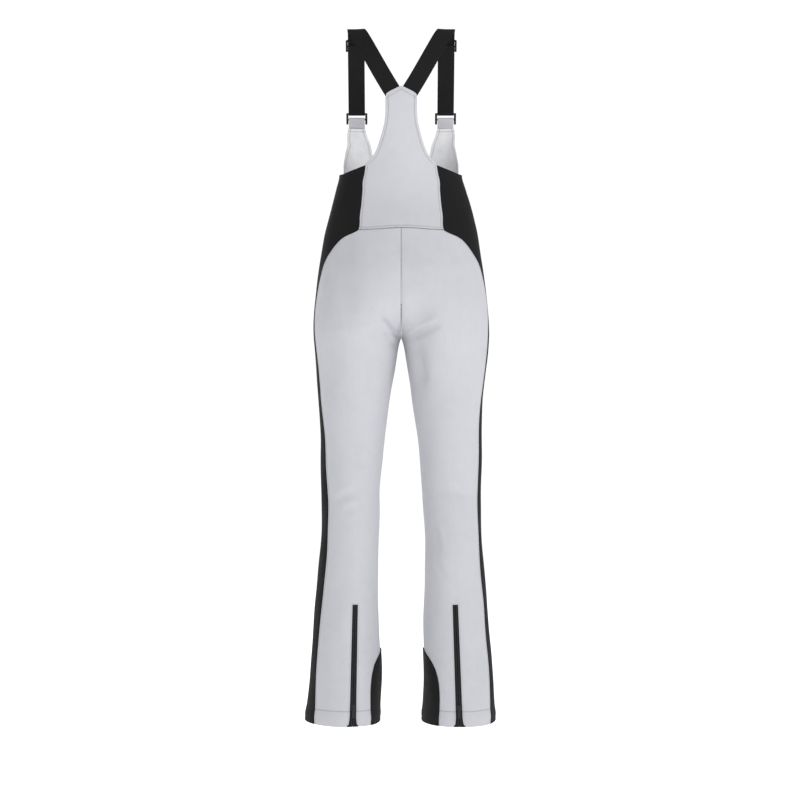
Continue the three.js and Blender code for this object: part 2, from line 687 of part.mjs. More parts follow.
// Half of a zip that follows the cloth: tape sewn under the cloth's edge and its row of coil, as one grid.
function tapeHalf(levels, middle, sign, twist, mirror, coverAt = tapeCover) {
  const coilIn = chainGap / 2;
  const coilOut = coilIn + coilWidth;
  const edge = zipSlot / 2 + coverAt;
  const thick = (deep) => (deep < coilOut + 0.01 ? coilHeight : tape);
  const stops = [coilIn, coilOut, coilOut + 0.02, zipSlot / 2, edge];
  const ordered = sign > 0 ? stops : stops.map((v) => -v).reverse();
  const at = (i, j) => {
    const t = thick(Math.abs(ordered[j]));
    return layer(levels[i], middle(levels[i]) + ordered[j], twist, -chainDepth + t / 2, t);
  };
  return shell(levels.length - 1, ordered.length - 1, at, mirror);
}

// The zip in the back of each hem.
function hemZip(side, mirror) {
  const twist = stanceTwist[side];
  const levels = steps(0, hemZipLength - fit, 4);
  add(`hem_zip_tape_outer_${side}`, tapeHalf(levels, quarterAt, -1, twist, mirror), nylon);
  add(`hem_zip_tape_inner_${side}`, tapeHalf(levels, quarterAt, 1, twist, mirror), nylon);
  const flip = new Vector3(mirror ? -1 : 1, 1, 1);
  const [foot, head] = [0, hemZipLength].map((z) => onBody(z, quarterAt(z), twist).multiply(flip));
  const middle = hemZipLength / 2;
  const frame = zipFrame(foot, head, facing(middle, quarterAt(middle), twist).multiply(flip));
  sliderAndPull(`hem_zip_${side}`, frame, hemSliderRest);
  add(`hem_gusset_${side}`, gusset(side, mirror), dark);
}
// The folded piece behind a hem zip, which lets the hem open over a boot.
function gusset(side, mirror) {
  const levels = steps(6, hemZipLength + 4, 3);
  const across = [-1, -0.72, 0, 0.72, 1].map((u) => u * gussetHalfWidth);
  const depths = [0.9, gussetDepth, gussetDepth, gussetDepth, 0.9];
  const at = (i, j) => {
    const z = levels[i];
    return layer(z, quarterAt(z) + across[j], stanceTwist[side], -cloth - depths[j], lawn);
  };
  return shell(levels.length - 1, across.length - 1, at, mirror);
}

// Both halves of a zip that is straight in a garment that curves a little: flat tapes sewn under the cloth.
function straightTapes(names, frame, length) {
  const out = zipSlot / 2 + tapeCover;
  const coilMiddle = (chainGap + coilWidth) / 2;
  const tapeMiddle = (chainGap / 2 + out) / 2;
  names.forEach((name, k) => {
    const sign = k ? 1 : -1;
    add(name, join(
      box(coilWidth, coilHeight, length, sign * coilMiddle, chainDepth, length / 2),
      box(out - chainGap / 2, tape, length, sign * tapeMiddle, chainDepth, length / 2),
    ), nylon, frame);
  });
}

// The front zip, from the fly to the neckline.
function frontZip() {
  const foot = new Vector3(0, frontZipRecess - frontDepth * grade, flyBottom);
  const length = neckBottom - flyBottom;
  const frame = zipFrame(foot, foot.clone().setZ(neckBottom), new Vector3(0, -1, 0));
  straightTapes(["front_zip_tape_right", "front_zip_tape_left"], frame, length);
  const stopWidth = chainGap + 2 * coilWidth;
  const clear = coilHeight / 2 + fit;
  add("front_zip_stop", join(
    box(stopWidth, 1, zipStop, 0, chainDepth - clear - 0.5, zipStop / 2),
    box(chainGap - 2 * fit, clear + 1, zipStop, 0, chainDepth - clear / 2, zipStop / 2),
  ), metal, frame);
  sliderAndPull("front_zip", frame, length - sliderLength / 2 - zipEnd);
}

// A hand pocket on the hip: zip tapes, slider and a bag inside.
function pocket(side, mirror) {
  const flip = new Vector3(mirror ? -1 : 1, 1, 1);
  const middle = (pocketBottom + pocketTop) / 2;
  const outward = facing(middle, pocketSlot.middle(middle), 0).multiply(flip);
  const [foot, head] = [pocketBottom + fit, pocketTop - fit].map((z) =>
    onBody(z, pocketSlot.middle(z), 0).multiply(flip).addScaledVector(outward, -pocketZipRecess),
  );
  const frame = zipFrame(foot, head, outward);
  const length = foot.distanceTo(head);
  const order = mirror ? ["back", "front"] : ["front", "back"];
  straightTapes(order.map((part) => `pocket_zip_tape_${part}_${side}`), frame, length);
  sliderAndPull(`pocket_zip_${side}`, frame, length - sliderLength / 2 - zipEnd);
  add(`pocket_bag_${side}`, pocketBag(mirror), lining);
}
function pocketBag(mirror) {
  const [top, bottom] = [pocketTop + 4, pocketBottom - pocketBagDrop];
  const levels = [...steps(bottom, pocketBottom, 2).slice(0, -1), ...steps(pocketBottom, pocketTop, 4), top];
  const face = pocketZipRecess + chainDepth + tape / 2 + bagRoom; // cloth's outer face to the bag's
  const backEdge = (z) => pocketSlot.middle(Math.max(z, pocketBottom)) + zipSlot / 2 + tapeCover + 4;
  const block = (rows, from, to, inset) => {
    const at = (i, j) => {
      const s = backEdge(rows[i]) - inset - ((pocketBagWidth - 2 * inset) * (4 - j)) / 4;
      return layer(rows[i], s, 0, -from, to - from);
    };
    return shell(rows.length - 1, 4, at, mirror);
  };
  const outer = block(levels, face, face + pocketBagThick, 0);
  const room = levels.map((z) => Math.min(Math.max(z, bottom + lawn), top - lawn));
  const inner = block(room, face + lawn, face + pocketBagThick - lawn, lawn);
  const mouthLevels = steps(pocketBottom + fit, pocketTop - fit, 4);
  const mouthEdge = (i, j) => {
    const z = mouthLevels[i];
    return layer(z, pocketSlot.middle(z) + (j - 0.5) * (zipSlot + 4), 0, -cloth, face);
  };
  const mouth = shell(mouthLevels.length - 1, 1, mouthEdge, mirror);
  return geometryOf(solidOf(outer).subtract(solidOf(inner)).subtract(solidOf(mouth)));
}

// ---- Shoulder straps, rings and adjusters ----
// The front run is straight, from the ring's upper bar to the shoulder, in a plane square to x.
const bibEdge = onBody(frontTop, -alongAtX("front", frontTop, strapX), 0);
const runTop = new Vector3(strapX, -shoulderBend, rest - 9);
const ringFoot = (() => {
  const lean = Math.atan2(runTop.y - bibEdge.y, runTop.z - bibEdge.z);
  return new Vector3(strapX, bibEdge.y + tabRise * Math.sin(lean), bibEdge.z + tabRise * Math.cos(lean));
})();
const runLine = runTop.clone().sub(ringFoot).normalize();
const runOut = new Vector3(0, -runLine.z, runLine.y);
const ringHead = ringFoot.clone().addScaledVector(runLine, ringHeight - ringBar);
function onRun(along, out = 0) {
  return ringHead.clone().addScaledVector(runLine, along).addScaledVector(runOut, out);
}
const runLength = ringHead.distanceTo(runTop);
const barReach = Math.hypot(ringBar, ringThick) / 2; // from the middle of a ring's bar to its corners
const ply = barReach + fit + webbing / 2; // from the run's middle to each layer of webbing
const adjusterRest = runLength - adjusterHeight / 2 - 4;

// A band from frames {at, across, up}, so that its flat faces can be set exactly.
function ribbon(frames, width, thick, mirror) {
  const position = frames.flatMap(({ at, across, up }) =>
    [[-1, -1], [1, -1], [1, 1], [-1, 1]].flatMap(([a, b]) => {
      const p = at.clone().addScaledVector(across, (a * width) / 2).addScaledVector(up, (b * thick) / 2);
      return [mirror ? -p.x : p.x, p.y, p.z];
    }),
  );
  const last = (frames.length - 1) * 4;
  const index = [0, 1, 2, 0, 2, 3, last, last + 2, last + 1, last, last + 3, last + 2];
  for (let i = 0; i < last; i += 4)
    for (let k = 0; k < 4; k++) {
      const [a, b] = [i + k, i + ((k + 1) % 4)];
      index.push(a, a + 4, b + 4, a, b + 4, b);
    }
  const made = indexed(position, index, false);
  return volumeOf(made) < 0 ? indexed(position, index, true) : made;
}
// Frames along points, with the width's direction turned square to the path.
function framesOf(points, acrossAt) {
  return points.map((p, i) => {
    const [before, after] = [points[Math.max(i - 1, 0)], points[Math.min(i + 1, points.length - 1)]];
    const tangent = after.clone().sub(before).normalize();
    const across = acrossAt(i / (points.length - 1)).clone();
    across.addScaledVector(tangent, -across.dot(tangent)).normalize();
    return { at: p, across, up: across.clone().cross(tangent).normalize() };
  });
}
const sideways = new Vector3(1, 0, 0);
// Half a turn of cloth round a ring's bar, from the outer layer to the inner one.
function turnRound(middle, radius, sign) {
  return steps(0, 1, 6).map((t) => {
    const a = Math.PI * t;
    const onLine = middle.clone().addScaledVector(runLine, sign * radius * Math.sin(a));
    return onLine.addScaledVector(runOut, radius * Math.cos(a));
  });
}
const loopStart = 7; // strap's folded end above the ring's bar
function shoulderStrap(mirror) {
  const fold = [onRun(loopStart, -ply), ...turnRound(ringHead, ply, -1).reverse()];
  const flatZ = rest + webbing / 2;
  const bendStart = onRun(runLength, ply);
  const bendEnd = new Vector3(strapX, -shoulderFlat / 2, flatZ);
  const corner = onRun(runLength + (flatZ - bendStart.z) / runLine.z, ply);
  const bend = new THREE.QuadraticBezierCurve3(bendStart, corner, bendEnd).getPoints(5).slice(0, -1);
  const run = steps(0, runLength, 3).slice(1, -1).map((d) => onRun(d, ply));
  const front = framesOf([...fold, ...run, ...bend], () => sideways);
  const level = [-1, 0, 1].map((k) => ({
    at: new Vector3(strapX, (k * shoulderFlat) / 2, flatZ),
    across: sideways,
    up: new Vector3(0, 0, 1),
  }));
  const deep = -cloth - fit - bibCurveRoom - webbing / 2;
  const insideBib = (z, x) => layer(z, alongAtX("back", z, x), 0, deep, 0)[0];
  const edgeZ = bibPeak - ((bibPeak - bibShoulder) * strapEndX) / (bibTopWidth / 2);
  const roof = insideBib(bibPeak, 2.5).sub(insideBib(bibShoulder, bibTopWidth / 2)).normalize();
  const down = roof.clone().cross(facing(edgeZ, alongAtX("back", edgeZ, strapEndX), 0)).normalize();
  if (down.z > 0) down.negate();
  const edge = insideBib(edgeZ, strapEndX);
  const end = edge.clone().addScaledVector(down, strapEndOverlap);
  const start = level[2].at;
  const hump = new THREE.CubicBezierCurve3(
    start,
    start.clone().add(new Vector3(-3, 30, 0)),
    edge.clone().addScaledVector(down, -66).add(new Vector3(0, -4, 0)),
    edge,
  );
  const backPoints = [...hump.getPoints(12).slice(1), end];
  const turned = roof.clone().negate();
  const turning = (t) => sideways.clone().lerp(turned, Math.min(1, t * 1.15));
  const back = framesOf([start, ...backPoints], turning).slice(1);
  return ribbon([...front, ...level, ...back], strapWidth, webbing, mirror);
}
function strapLoop(mirror) {
  const top = adjusterRest + adjusterBar;
  const frames = framesOf([onRun(loopStart + fit, -ply), onRun(top, -ply)], () => sideways);
  return ribbon(frames, strapWidth, webbing, mirror);
}
// A frame for the run: x across, y inwards, z up the strap.
function runGroup(mirror) {
  const group = new THREE.Group();
  const at = ringHead.clone();
  if (mirror) at.x = -at.x;
  group.matrix.makeBasis(sideways, runOut.clone().negate(), runLine).setPosition(at);
  group.matrixAutoUpdate = false;
  body.add(group);
  return group;
}
function ring() {
  const hole = roundedRect(ringWidth - 2 * ringBar, ringHeight - 2 * ringBar, 1.5, 0, new THREE.Path());
  const middle = -(ringHeight - ringBar) / 2;
  return plate(roundedRect(ringWidth, ringHeight, 4), [hole], ringThick).translate(0, 0, middle);
}
function adjuster() {
  const outerY = -(ply + webbing / 2 + fit + adjusterBar / 2);
  const outerFace = outerY - adjusterBar / 2;
  const innerFace = adjusterBar / 2 + 0.6;
  const railX = (adjusterWidth - adjusterRail) / 2;
  const endZ = (adjusterHeight - adjusterRail) / 2;
  const rail = (sign) =>
    box(adjusterRail, innerFace - outerFace, adjusterHeight, sign * railX, (innerFace + outerFace) / 2, 0);
  const bar = (y, z) => box(adjusterWidth - 1, adjusterBar, adjusterRail, 0, y, z);
  return join(rail(-1), rail(1), bar(outerY, endZ), bar(outerY, -endZ), bar(0, 0));
}
// The cloth tab that holds the ring to the bib: sewn down outside it and folded round the ring's lower bar.
function bibTab(mirror) {
  const radius = barReach + fit + tabCloth / 2;
  const base = frontTop - tabBase;
  const lift = 0.8 + tabCloth / 2;
  const low = [base, frontTop - 1].map((z) => layer(z, -alongAtX("front", z, strapX), 0, lift, 0)[0]);
  const fold = turnRound(ringFoot, radius, 1);
  const inner = layer(frontTop, -alongAtX("front", frontTop, strapX), 0, -cloth / 2, 0)[0];
  inner.addScaledVector(runLine, 1.2);
  const points = [...low, ...fold, inner];
  const edgeLine = layer(base, -alongAtX("front", base, strapX + 10), 0, lift, 0)[0]
    .sub(layer(base, -alongAtX("front", base, strapX - 10), 0, lift, 0)[0])
    .normalize();
  const frames = framesOf(points, (t) => edgeLine.clone().lerp(sideways, Math.min(1, t * 5)));
  return ribbon(frames, tabWidth, tabCloth, mirror);
}

add("back_bib_panel", backBib(), light);
frontZip();
for (const side of ["left", "right"]) {
  const mirror = side === "right";
  add(`back_leg_panel_${side}`, backLeg(side, mirror), light);
  add(`front_leg_panel_${side}`, frontLeg(side, mirror), light);
  add(`side_panel_${side}`, sidePanel(side, mirror), dark);
  add(`front_bib_panel_${side}`, frontBib(mirror), light);
  add(`scuff_guard_${side}`, scuffGuard(side, mirror), dark);
  add(`snow_gaiter_${side}`, gaiter(side, mirror), lining);
  hemZip(side, mirror);
  pocket(side, mirror);
  add(`shoulder_strap_${side}`, shoulderStrap(mirror), elastic);
  add(`strap_loop_${side}`, strapLoop(mirror), elastic);
  const run = runGroup(mirror);
  add(`strap_ring_${side}`, ring(), nylon, run);
  add(`strap_adjuster_${side}`, adjuster().translate(0, 0, adjusterRest), nylon, run);
  add(`bib_tab_${side}`, bibTab(mirror), light);
}

export default pants;
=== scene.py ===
"""Looks of the ski bib trousers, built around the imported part.

Lengths are millimetres and heights are measured from the hem until a mesh is made, when they become metres in
the row frame. The wearer's left is +X and the wearer faces -Y. Cloth lies on one body surface: a point is a
height z and a distance s round the section from the side line, positive towards the back.
"""
import math

import bmesh
import bpy
import numpy as np
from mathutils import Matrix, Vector


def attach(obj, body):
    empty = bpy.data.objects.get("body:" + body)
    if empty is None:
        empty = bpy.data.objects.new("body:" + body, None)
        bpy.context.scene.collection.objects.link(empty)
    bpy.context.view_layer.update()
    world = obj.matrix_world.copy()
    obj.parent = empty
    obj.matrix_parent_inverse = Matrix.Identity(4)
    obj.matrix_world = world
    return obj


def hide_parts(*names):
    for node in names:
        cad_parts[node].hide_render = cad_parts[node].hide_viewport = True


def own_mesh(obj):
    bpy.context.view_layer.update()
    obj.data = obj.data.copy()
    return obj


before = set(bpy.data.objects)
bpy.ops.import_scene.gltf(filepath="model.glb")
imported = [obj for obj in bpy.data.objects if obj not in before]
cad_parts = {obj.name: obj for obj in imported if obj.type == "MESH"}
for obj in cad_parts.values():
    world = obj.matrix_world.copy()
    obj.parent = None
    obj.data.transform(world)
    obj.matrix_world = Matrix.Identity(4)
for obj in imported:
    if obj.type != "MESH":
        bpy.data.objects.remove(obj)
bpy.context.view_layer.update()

REST = 1425.5  # hem to the shoulders, where the row frame has its origin
SIDES = {"left": 1, "right": -1}
TWIST = {"left": 14, "right": 2}
CLOTH = 2.0
SEAM_GAP = 0.2
FIT = 0.35
CROTCH, YOKE, TOP = 788.0, 1004.0, 1304.0
FLY_BOTTOM, NECK_BOTTOM = 860.0, 1124.0
BACK_CORNER, BIB_SHOULDER, BIB_PEAK, FRONT_TOP = 1134.0, 1278.0, 1296.0, 1238.0
POCKET_BOTTOM, POCKET_TOP = 858.0, 992.0
HEM_ZIP, HEM_STRAIGHT, HEM_STITCH = 235.0, 260.0, 31.0
ZIP_SLOT, TAPE, TAPE_COVER, CHAIN_GAP = 11.0, 0.9, 7.0, 1.2
COIL_WIDTH, COIL_HEIGHT = 2.4, 1.7
CHAIN_DEPTH = CLOTH + FIT + TAPE / 2
STRAP, WEBBING, STRAP_X = 35.0, 1.4, 94.5


# ---- The body surface ----
def smooth_curve(pairs):
    """A monotone cubic through [at, value] pairs."""
    at, value = np.array(pairs, float).T
    step = np.diff(at)
    rise = np.diff(value) / step
    slope = np.zeros(len(at))
    slope[0], slope[-1] = rise[0], rise[-1]
    for i in range(1, len(at) - 1):
        before, after = rise[i - 1], rise[i]
        if before * after > 0:
            wa, wb = 2 * step[i] + step[i - 1], step[i] + 2 * step[i - 1]
            slope[i] = (wa + wb) / (wa / before + wb / after)

    def curve(x):
        x = np.clip(np.asarray(x, float), at[0], at[-1])
        i = np.clip(np.searchsorted(at, x, side="right") - 1, 0, len(step) - 1)
        t = (x - at[i]) / step[i]
        a, b = value[i], value[i + 1]
        ma, mb = slope[i] * step[i], slope[i + 1] * step[i]
        t2, t3 = t * t, t * t * t
        return (2 * t3 - 3 * t2 + 1) * a + (t3 - 2 * t2 + t) * ma + (3 * t2 - 2 * t3) * b + (t3 - t2) * mb

    return curve


# [height, outermost x, centre x, centre y, half depth behind, half depth in front]
LEG_STATIONS = [
    [0, 198.4, 121.9, 0, 97, 99], [260, 176, 112, 2, 78, 77], [321, 171.6, 110, 3, 75, 72],
    [371, 168.2, 108, 3, 72, 68], [421, 166, 105.9, 2, 70, 66], [471, 165.4, 104.5, -2, 69, 68],
    [521, 166, 102.7, -4, 72, 71], [571, 167.2, 101.2, -5, 77, 76], [621, 169.6, 99.4, -6, 84, 82],
    [671, 172.3, 96.6, -6, 92, 88], [721, 175.6, 94, -4, 100, 93], [771, 179.8, 92.4, -1, 107, 97],
    [788, 181, 90.5, 0, 110, 98],
]
# Above the crotch, and above the yoke: the same without the last number
HIP_STATIONS = [
    [10, 181.6, 87, 0, 113], [30, 182, 74, 0, 118], [54, 181.4, 60, 0, 123.5], [82, 179, 46, 0, 127],
    [132, 172.6, 30, 0, 124], [182, 164, 16, 0, 112], [216, 158, 8, 0, 103],
]
BIB_STATIONS = [
    [16, 154.5, 5, 0, 99], [66, 143.5, 0, 0, 88], [91, 136, 0, 0, 85], [116, 128.5, 0, 0, 84],
    [166, 127, 0, 0, 88], [216, 130, 0, 0, 96], [258, 133, 0, 0, 101], [300, 134, 0, 0, 103],
]
# [height, centre x, half depth, squareness] of the front above the crotch
FRONT_STATIONS = [
    [758, 90.5, 98, 2], [788, 90.5, 98, 2], [800, 85, 98.6, 2], [816, 62, 100, 2], [832, 32, 102, 2.1],
    [846, 8, 103.5, 2.2], [856, 0, 104, 2.2], [860, 0, 104, 2.2], [1124, 0, 104, 2.3], [1128, 0, 104, 2.3],
    [1160, 0, 114, 2.9], [1190, 0, 121, 4], [1215, 0, 120, 6], [1244, 0, 113, 8],
]


def column(rows, k):
    return smooth_curve([[r[0], r[k]] for r in rows])


BODY_STATIONS = LEG_STATIONS + [[CROTCH + r[0], *r[1:]] for r in HIP_STATIONS]
BODY_STATIONS += [[YOKE + r[0], *r[1:]] for r in BIB_STATIONS]
outer_at = column(BODY_STATIONS, 1)
centre_back_at = column(BODY_STATIONS, 2)
centre_y_at = column(BODY_STATIONS, 3)
depth_back_at = column(BODY_STATIONS, 4)
leg_front = [column(LEG_STATIONS, k) for k in (2, 5)]
body_front = [column(FRONT_STATIONS, k) for k in (1, 2, 3)]
twist_share = smooth_curve([[430, 1], [660, 0]])


def section_numbers(face, z):
    outer = float(outer_at(z))
    above = z > CROTCH
    if face == "back":
        centre, depth, square = float(centre_back_at(z)), float(depth_back_at(z)), 2.0
    elif above:
        centre, depth, square = (float(f(z)) for f in body_front)
    else:
        centre, depth, square = float(leg_front[0](z)), float(leg_front[1](z)), 2.0
    return np.array([centre, outer - centre, float(centre_y_at(z)), depth, square])


def section(face, z):
    """x, y and the distance from the side line, along half a section."""
    if z < HEM_STRAIGHT:
        share = z / HEM_STRAIGHT
        numbers = section_numbers(face, 0.0) * (1 - share) + section_numbers(face, HEM_STRAIGHT) * share
    else:
        numbers = section_numbers(face, z)
    centre, half, middle, depth, square = numbers
    reach = min(1.0, max(0.0, centre / half))
    last = math.pi - math.acos(reach ** (square / 2)) if z >= CROTCH else math.pi
    a = np.linspace(0, last, 241)
    x = centre + half * np.sign(np.cos(a)) * np.abs(np.cos(a)) ** (2 / square)
    y = middle + (1 if face == "back" else -1) * depth * np.maximum(np.sin(a), 0) ** (2 / square)
    along = np.concatenate([[0], np.cumsum(np.hypot(np.diff(x), np.diff(y)))])
    return x, y, along


LEVELS = np.concatenate([np.arange(0, 780, 2.0), np.arange(780, 870, 0.5), np.arange(870, TOP + 0.1, 2.0)])
SHARES = np.linspace(0, 1, 201)
TABLES = {}
for face in ("back", "front"):
    halves = [section(face, z) for z in LEVELS]
    TABLES[face] = (
        np.array([np.interp(SHARES * along[-1], along, x) for x, y, along in halves]),
        np.array([np.interp(SHARES * along[-1], along, y) for x, y, along in halves]),
        np.array([along[-1] for x, y, along in halves]),
    )


def back_length(z):
    return np.interp(z, LEVELS, TABLES["back"][2])


def front_length(z):
    return np.interp(z, LEVELS, TABLES["front"][2])


def on_body(z, s, twist):
    """Points of the cloth's outer face, in the left leg's frame."""
    z, s = np.broadcast_arrays(np.asarray(z, float), np.asarray(s, float))
    level = np.clip(np.searchsorted(LEVELS, z, side="right") - 1, 0, len(LEVELS) - 2)
    f = np.clip((z - LEVELS[level]) / (LEVELS[level + 1] - LEVELS[level]), 0, 1)
    flat = {}
    for face in TABLES:
        xs, ys, lengths = TABLES[face]
        length = lengths[level] * (1 - f) + lengths[level + 1] * f
        u = np.clip(np.abs(s) / length, 0, 1) * (len(SHARES) - 1)
        j = np.minimum(u.astype(int), len(SHARES) - 2)
        g = u - j
        flat[face] = [
            (t[level, j] * (1 - g) + t[level, j + 1] * g) * (1 - f)
            + (t[level + 1, j] * (1 - g) + t[level + 1, j + 1] * g) * f
            for t in (xs, ys)
        ]
    x, y = (np.where(s < 0, flat["front"][k], flat["back"][k]) for k in (0, 1))
    turn = np.where(z < CROTCH, twist_share(z), 0) * math.radians(twist)
    cx, cy = centre_back_at(z), centre_y_at(z)
    dx, dy = x - cx, y - cy
    return np.stack([
        cx + dx * np.cos(turn) - dy * np.sin(turn),
        cy + dx * np.sin(turn) + dy * np.cos(turn),
        z,
    ], -1)


def unit(v):
    return v / np.maximum(np.linalg.norm(v, axis=-1, keepdims=True), 1e-9)


def surface(z, s, twist):
    """Points and outward directions, in the left leg's frame."""
    z, s = np.broadcast_arrays(np.asarray(z, float), np.asarray(s, float))
    low, high = -front_length(z) + 0.05, back_length(z) - 0.05
    across = on_body(z, np.clip(s + 1, low, high), twist) - on_body(z, np.clip(s - 1, low, high), twist)
    up = on_body(z + 0.5, s, twist) - on_body(np.maximum(z - 0.5, 0), s, twist)
    return on_body(z, s, twist), unit(np.cross(across, up))


def along_at_x(face, z, x):
    """The distance from the side line at which the section reaches x."""
    xs, _, along = section(face, z)
    return float(np.interp(x, xs[::-1], along[::-1]))


def seam_from_x(face, pairs):
    sign = 1 if face == "back" else -1
    return smooth_curve([[z, sign * along_at_x(face, z, x)] for z, x in pairs])


BACK_SEAM_LEG = [
    [0, 53], [122, 42], [222, 37], [321, 35], [421, 30], [521, 31], [621, 35], [721, 33], [788, 29],
]
BACK_SEAM_HIP = [[820, 28], [858, 29], [886, 31]]
BACK_SEAM_ARC = [[915, 166.5], [938, 159.5], [963, 145], [987, 124], [1004, 87.5]]
BACK_SEAM_BIB = [[1035, 85], [1060, 82], [1085, 80], [1110, 78], [1134, 73.5]]
back_seam = smooth_curve(
    BACK_SEAM_LEG + BACK_SEAM_HIP + [[z, along_at_x("back", z, x)] for z, x in BACK_SEAM_ARC + BACK_SEAM_BIB]
)
front_seam = smooth_curve([[0, -32], [420, -20], [788, -20], [1124, -34]])
stripe_swing = smooth_curve([[0, -11], [110, -12], [190, -5], [300, 0]])


def stripe_seam(side):
    """The rear seam of the stripe, which swings forward over the calf of the leg that is turned out."""
    return (lambda z: back_seam(z) + stripe_swing(np.minimum(z, 300))) if side == "left" else back_seam


back_armhole = seam_from_x("back", [
    [1134, 73.5], [1144, 66], [1156, 56.5], [1182, 45.7], [1207, 38.4], [1226, 34], [1250, 32.2],
    [BIB_SHOULDER, 31.5], [BIB_PEAK, 2.4],
])
front_armhole = seam_from_x("front", [[1124, 123.5], [1140, 122.5], [1178, 118.5], [1208, 115], [1238, 113]])
neckline = seam_from_x("front", [
    [1124, 5.5], [1126.5, 17], [1132, 30], [1144, 45], [1178, 60], [1208, 67], [1238, 76.5],
])
side_top_edge = smooth_curve([[-1, 1124], [-0.35, 1121], [0, 1120], [0.5, 1125], [1, 1134]])


def quarter_at(z):
    """Where the middle of the back of the leg is."""
    z = np.asarray(z, float)
    table = np.array([[h, section("back", h)[2][120]] for h in np.arange(0, 301, 20.0)])
    return np.interp(z, table[:, 0], table[:, 1])


def edge_inset(seam, z):
    return SEAM_GAP / 2 * np.hypot(1, (seam(z + 1) - seam(z - 1)) / 2)


pocket_table = np.array([
    [z, -along_at_x("front", z, 120 - 23 * (z - POCKET_BOTTOM) / (POCKET_TOP - POCKET_BOTTOM))]
    for z in np.linspace(POCKET_BOTTOM, YOKE, 40)
])


def pocket_middle(z):
    return np.interp(z, pocket_table[:, 0], pocket_table[:, 1])


# ---- Folds and unevenness of the worn cloth ----
rng = np.random.default_rng(11)
WAVES = []
for wavelength in np.linspace(38, 150, 14):
    direction = unit(rng.normal(size=3) * [1.2, 1.2, 0.55])
    WAVES.append((direction * 2 * math.pi / wavelength, rng.uniform(0, 6.28), 0.0034 * wavelength))


def smoothstep(low, high, x):
    t = np.clip((x - low) / (high - low), 0, 1)
    return t * t * (3 - 2 * t)


def from_line(p, a, b):
    """How far points are from the straight line a-b."""
    a, b = np.array(a, float), np.array(b, float)
    d = b - a
    t = np.clip((p - a) @ d / (d @ d), 0, 1)
    return np.linalg.norm(p - a - t[..., None] * d, axis=-1)


def zip_line(middle, low, high, side, twist):
    ends = on_body(np.array([low, high]), np.array([middle(low), middle(high)]), twist)
    return ends * [SIDES[side], 1, 1]


ZIP_LINES = [np.array([[0, -103.6, FLY_BOTTOM], [0, -103.6, NECK_BOTTOM]])]
for side in SIDES:
    ZIP_LINES.append(zip_line(quarter_at, 0, HEM_ZIP, side, TWIST[side]))
    ZIP_LINES.append(zip_line(pocket_middle, POCKET_BOTTOM, POCKET_TOP, side, 0))

# Folds seen from behind and from the front:
# [x and z of both ends, depth, half width, height of the ridge beside it]
BACK_FOLDS = [
    [(-24, 786), (-78, 812), 3.6, 7, 2.0],
    [(-30, 770), (-44, 690), 3.8, 10, 1.0],
    [(6, 789), (42, 828), 3.0, 5, 1.2],
    [(10, 768), (40, 792), 1.8, 6, 0.9],
    [(14, 742), (22, 700), 1.4, 8, 0.4],
    [(92, 470), (140, 452), 1.5, 9, 0.7],
    [(-80, 478), (-140, 462), 1.6, 9, 0.7],
    [(84, 440), (120, 430), 1.2, 8, 0.5],
    [(-70, 320), (-92, 292), 1.4, 7, 0.6],
    [(-66, 390), (-78, 350), 1.6, 7, 0.6],
    [(70, 330), (84, 300), 1.0, 7, 0.4],
]
FRONT_FOLDS = [
    [(10, 792), (70, 826), 2.6, 6, 1.0],
    [(-10, 790), (-66, 822), 2.4, 6, 1.0],
    [(14, 770), (60, 786), 1.8, 7, 0.8],
    [(-14, 766), (-56, 788), 1.8, 7, 0.8],
    [(84, 480), (140, 468), 1.4, 9, 0.6],
    [(-84, 474), (-138, 466), 1.4, 9, 0.6],
    [(80, 150), (150, 140), 1.3, 9, 0.5],
    [(-80, 140), (-150, 152), 1.3, 9, 0.5],
]
# Broad hollows (and swells, where the depth is negative) behind: [x, z, half width, half height, depth]
BACK_HOLLOWS = [
    [-44, 840, 30, 30, 4.2], [-42, 735, 14, 55, 2.0], [120, 880, 30, 50, 1.2], [112, 835, 30, 60, 1.4],
    [-110, 850, 30, 45, -1.2], [60, 905, 40, 50, -1.2],
    [-60, 915, 40, 50, -1.0], [0, 1060, 60, 40, 1.0], [118, 300, 22, 60, 0.9], [-118, 280, 22, 60, 0.9],
]


FOLD_GAIN = 1.5
HOLLOW_GAIN = 1.7
leg_settle = smooth_curve([[0, -6.5], [31, -6.3], [110, 0], [235, 5.8], [330, 0], [400, 0]])


def settle(p, n):
    """How far the worn cloth has slipped up or down on the body."""
    x, z, facing = p[..., 0], p[..., 2], n[..., 1]
    leg = leg_settle(np.minimum(z, 400))
    yoke = (1.5 + 3 * np.exp(-((x / 45) ** 2))) * np.exp(-(((z - YOKE) / 50) ** 2))
    corner = 5 * np.exp(-(((z - 1130) / 35) ** 2)) * smoothstep(-0.6, 0, facing)
    return smoothstep(-0.6, 0.2, facing) * leg + smoothstep(-0.1, 0.6, facing) * yoke + corner


def fold_depth(p, fold):
    (ax, az), (bx, bz), depth, width, ridge = fold
    x, z = p[..., 0] - ax, p[..., 2] - az
    length = math.hypot(bx - ax, bz - az)
    tx, tz = (bx - ax) / length, (bz - az) / length
    along = (x * tx + z * tz) / length
    aside = (-x * tz + z * tx) * (1 if bx >= ax else -1)
    fade = np.exp(-(np.maximum(0, np.abs(along - 0.45) - 0.25) / 0.3) ** 2)
    crest = ridge * np.exp(-(((aside - 1.9 * width) / width) ** 2))
    return FOLD_GAIN * fade * (crest - depth * np.exp(-((aside / width) ** 2)))


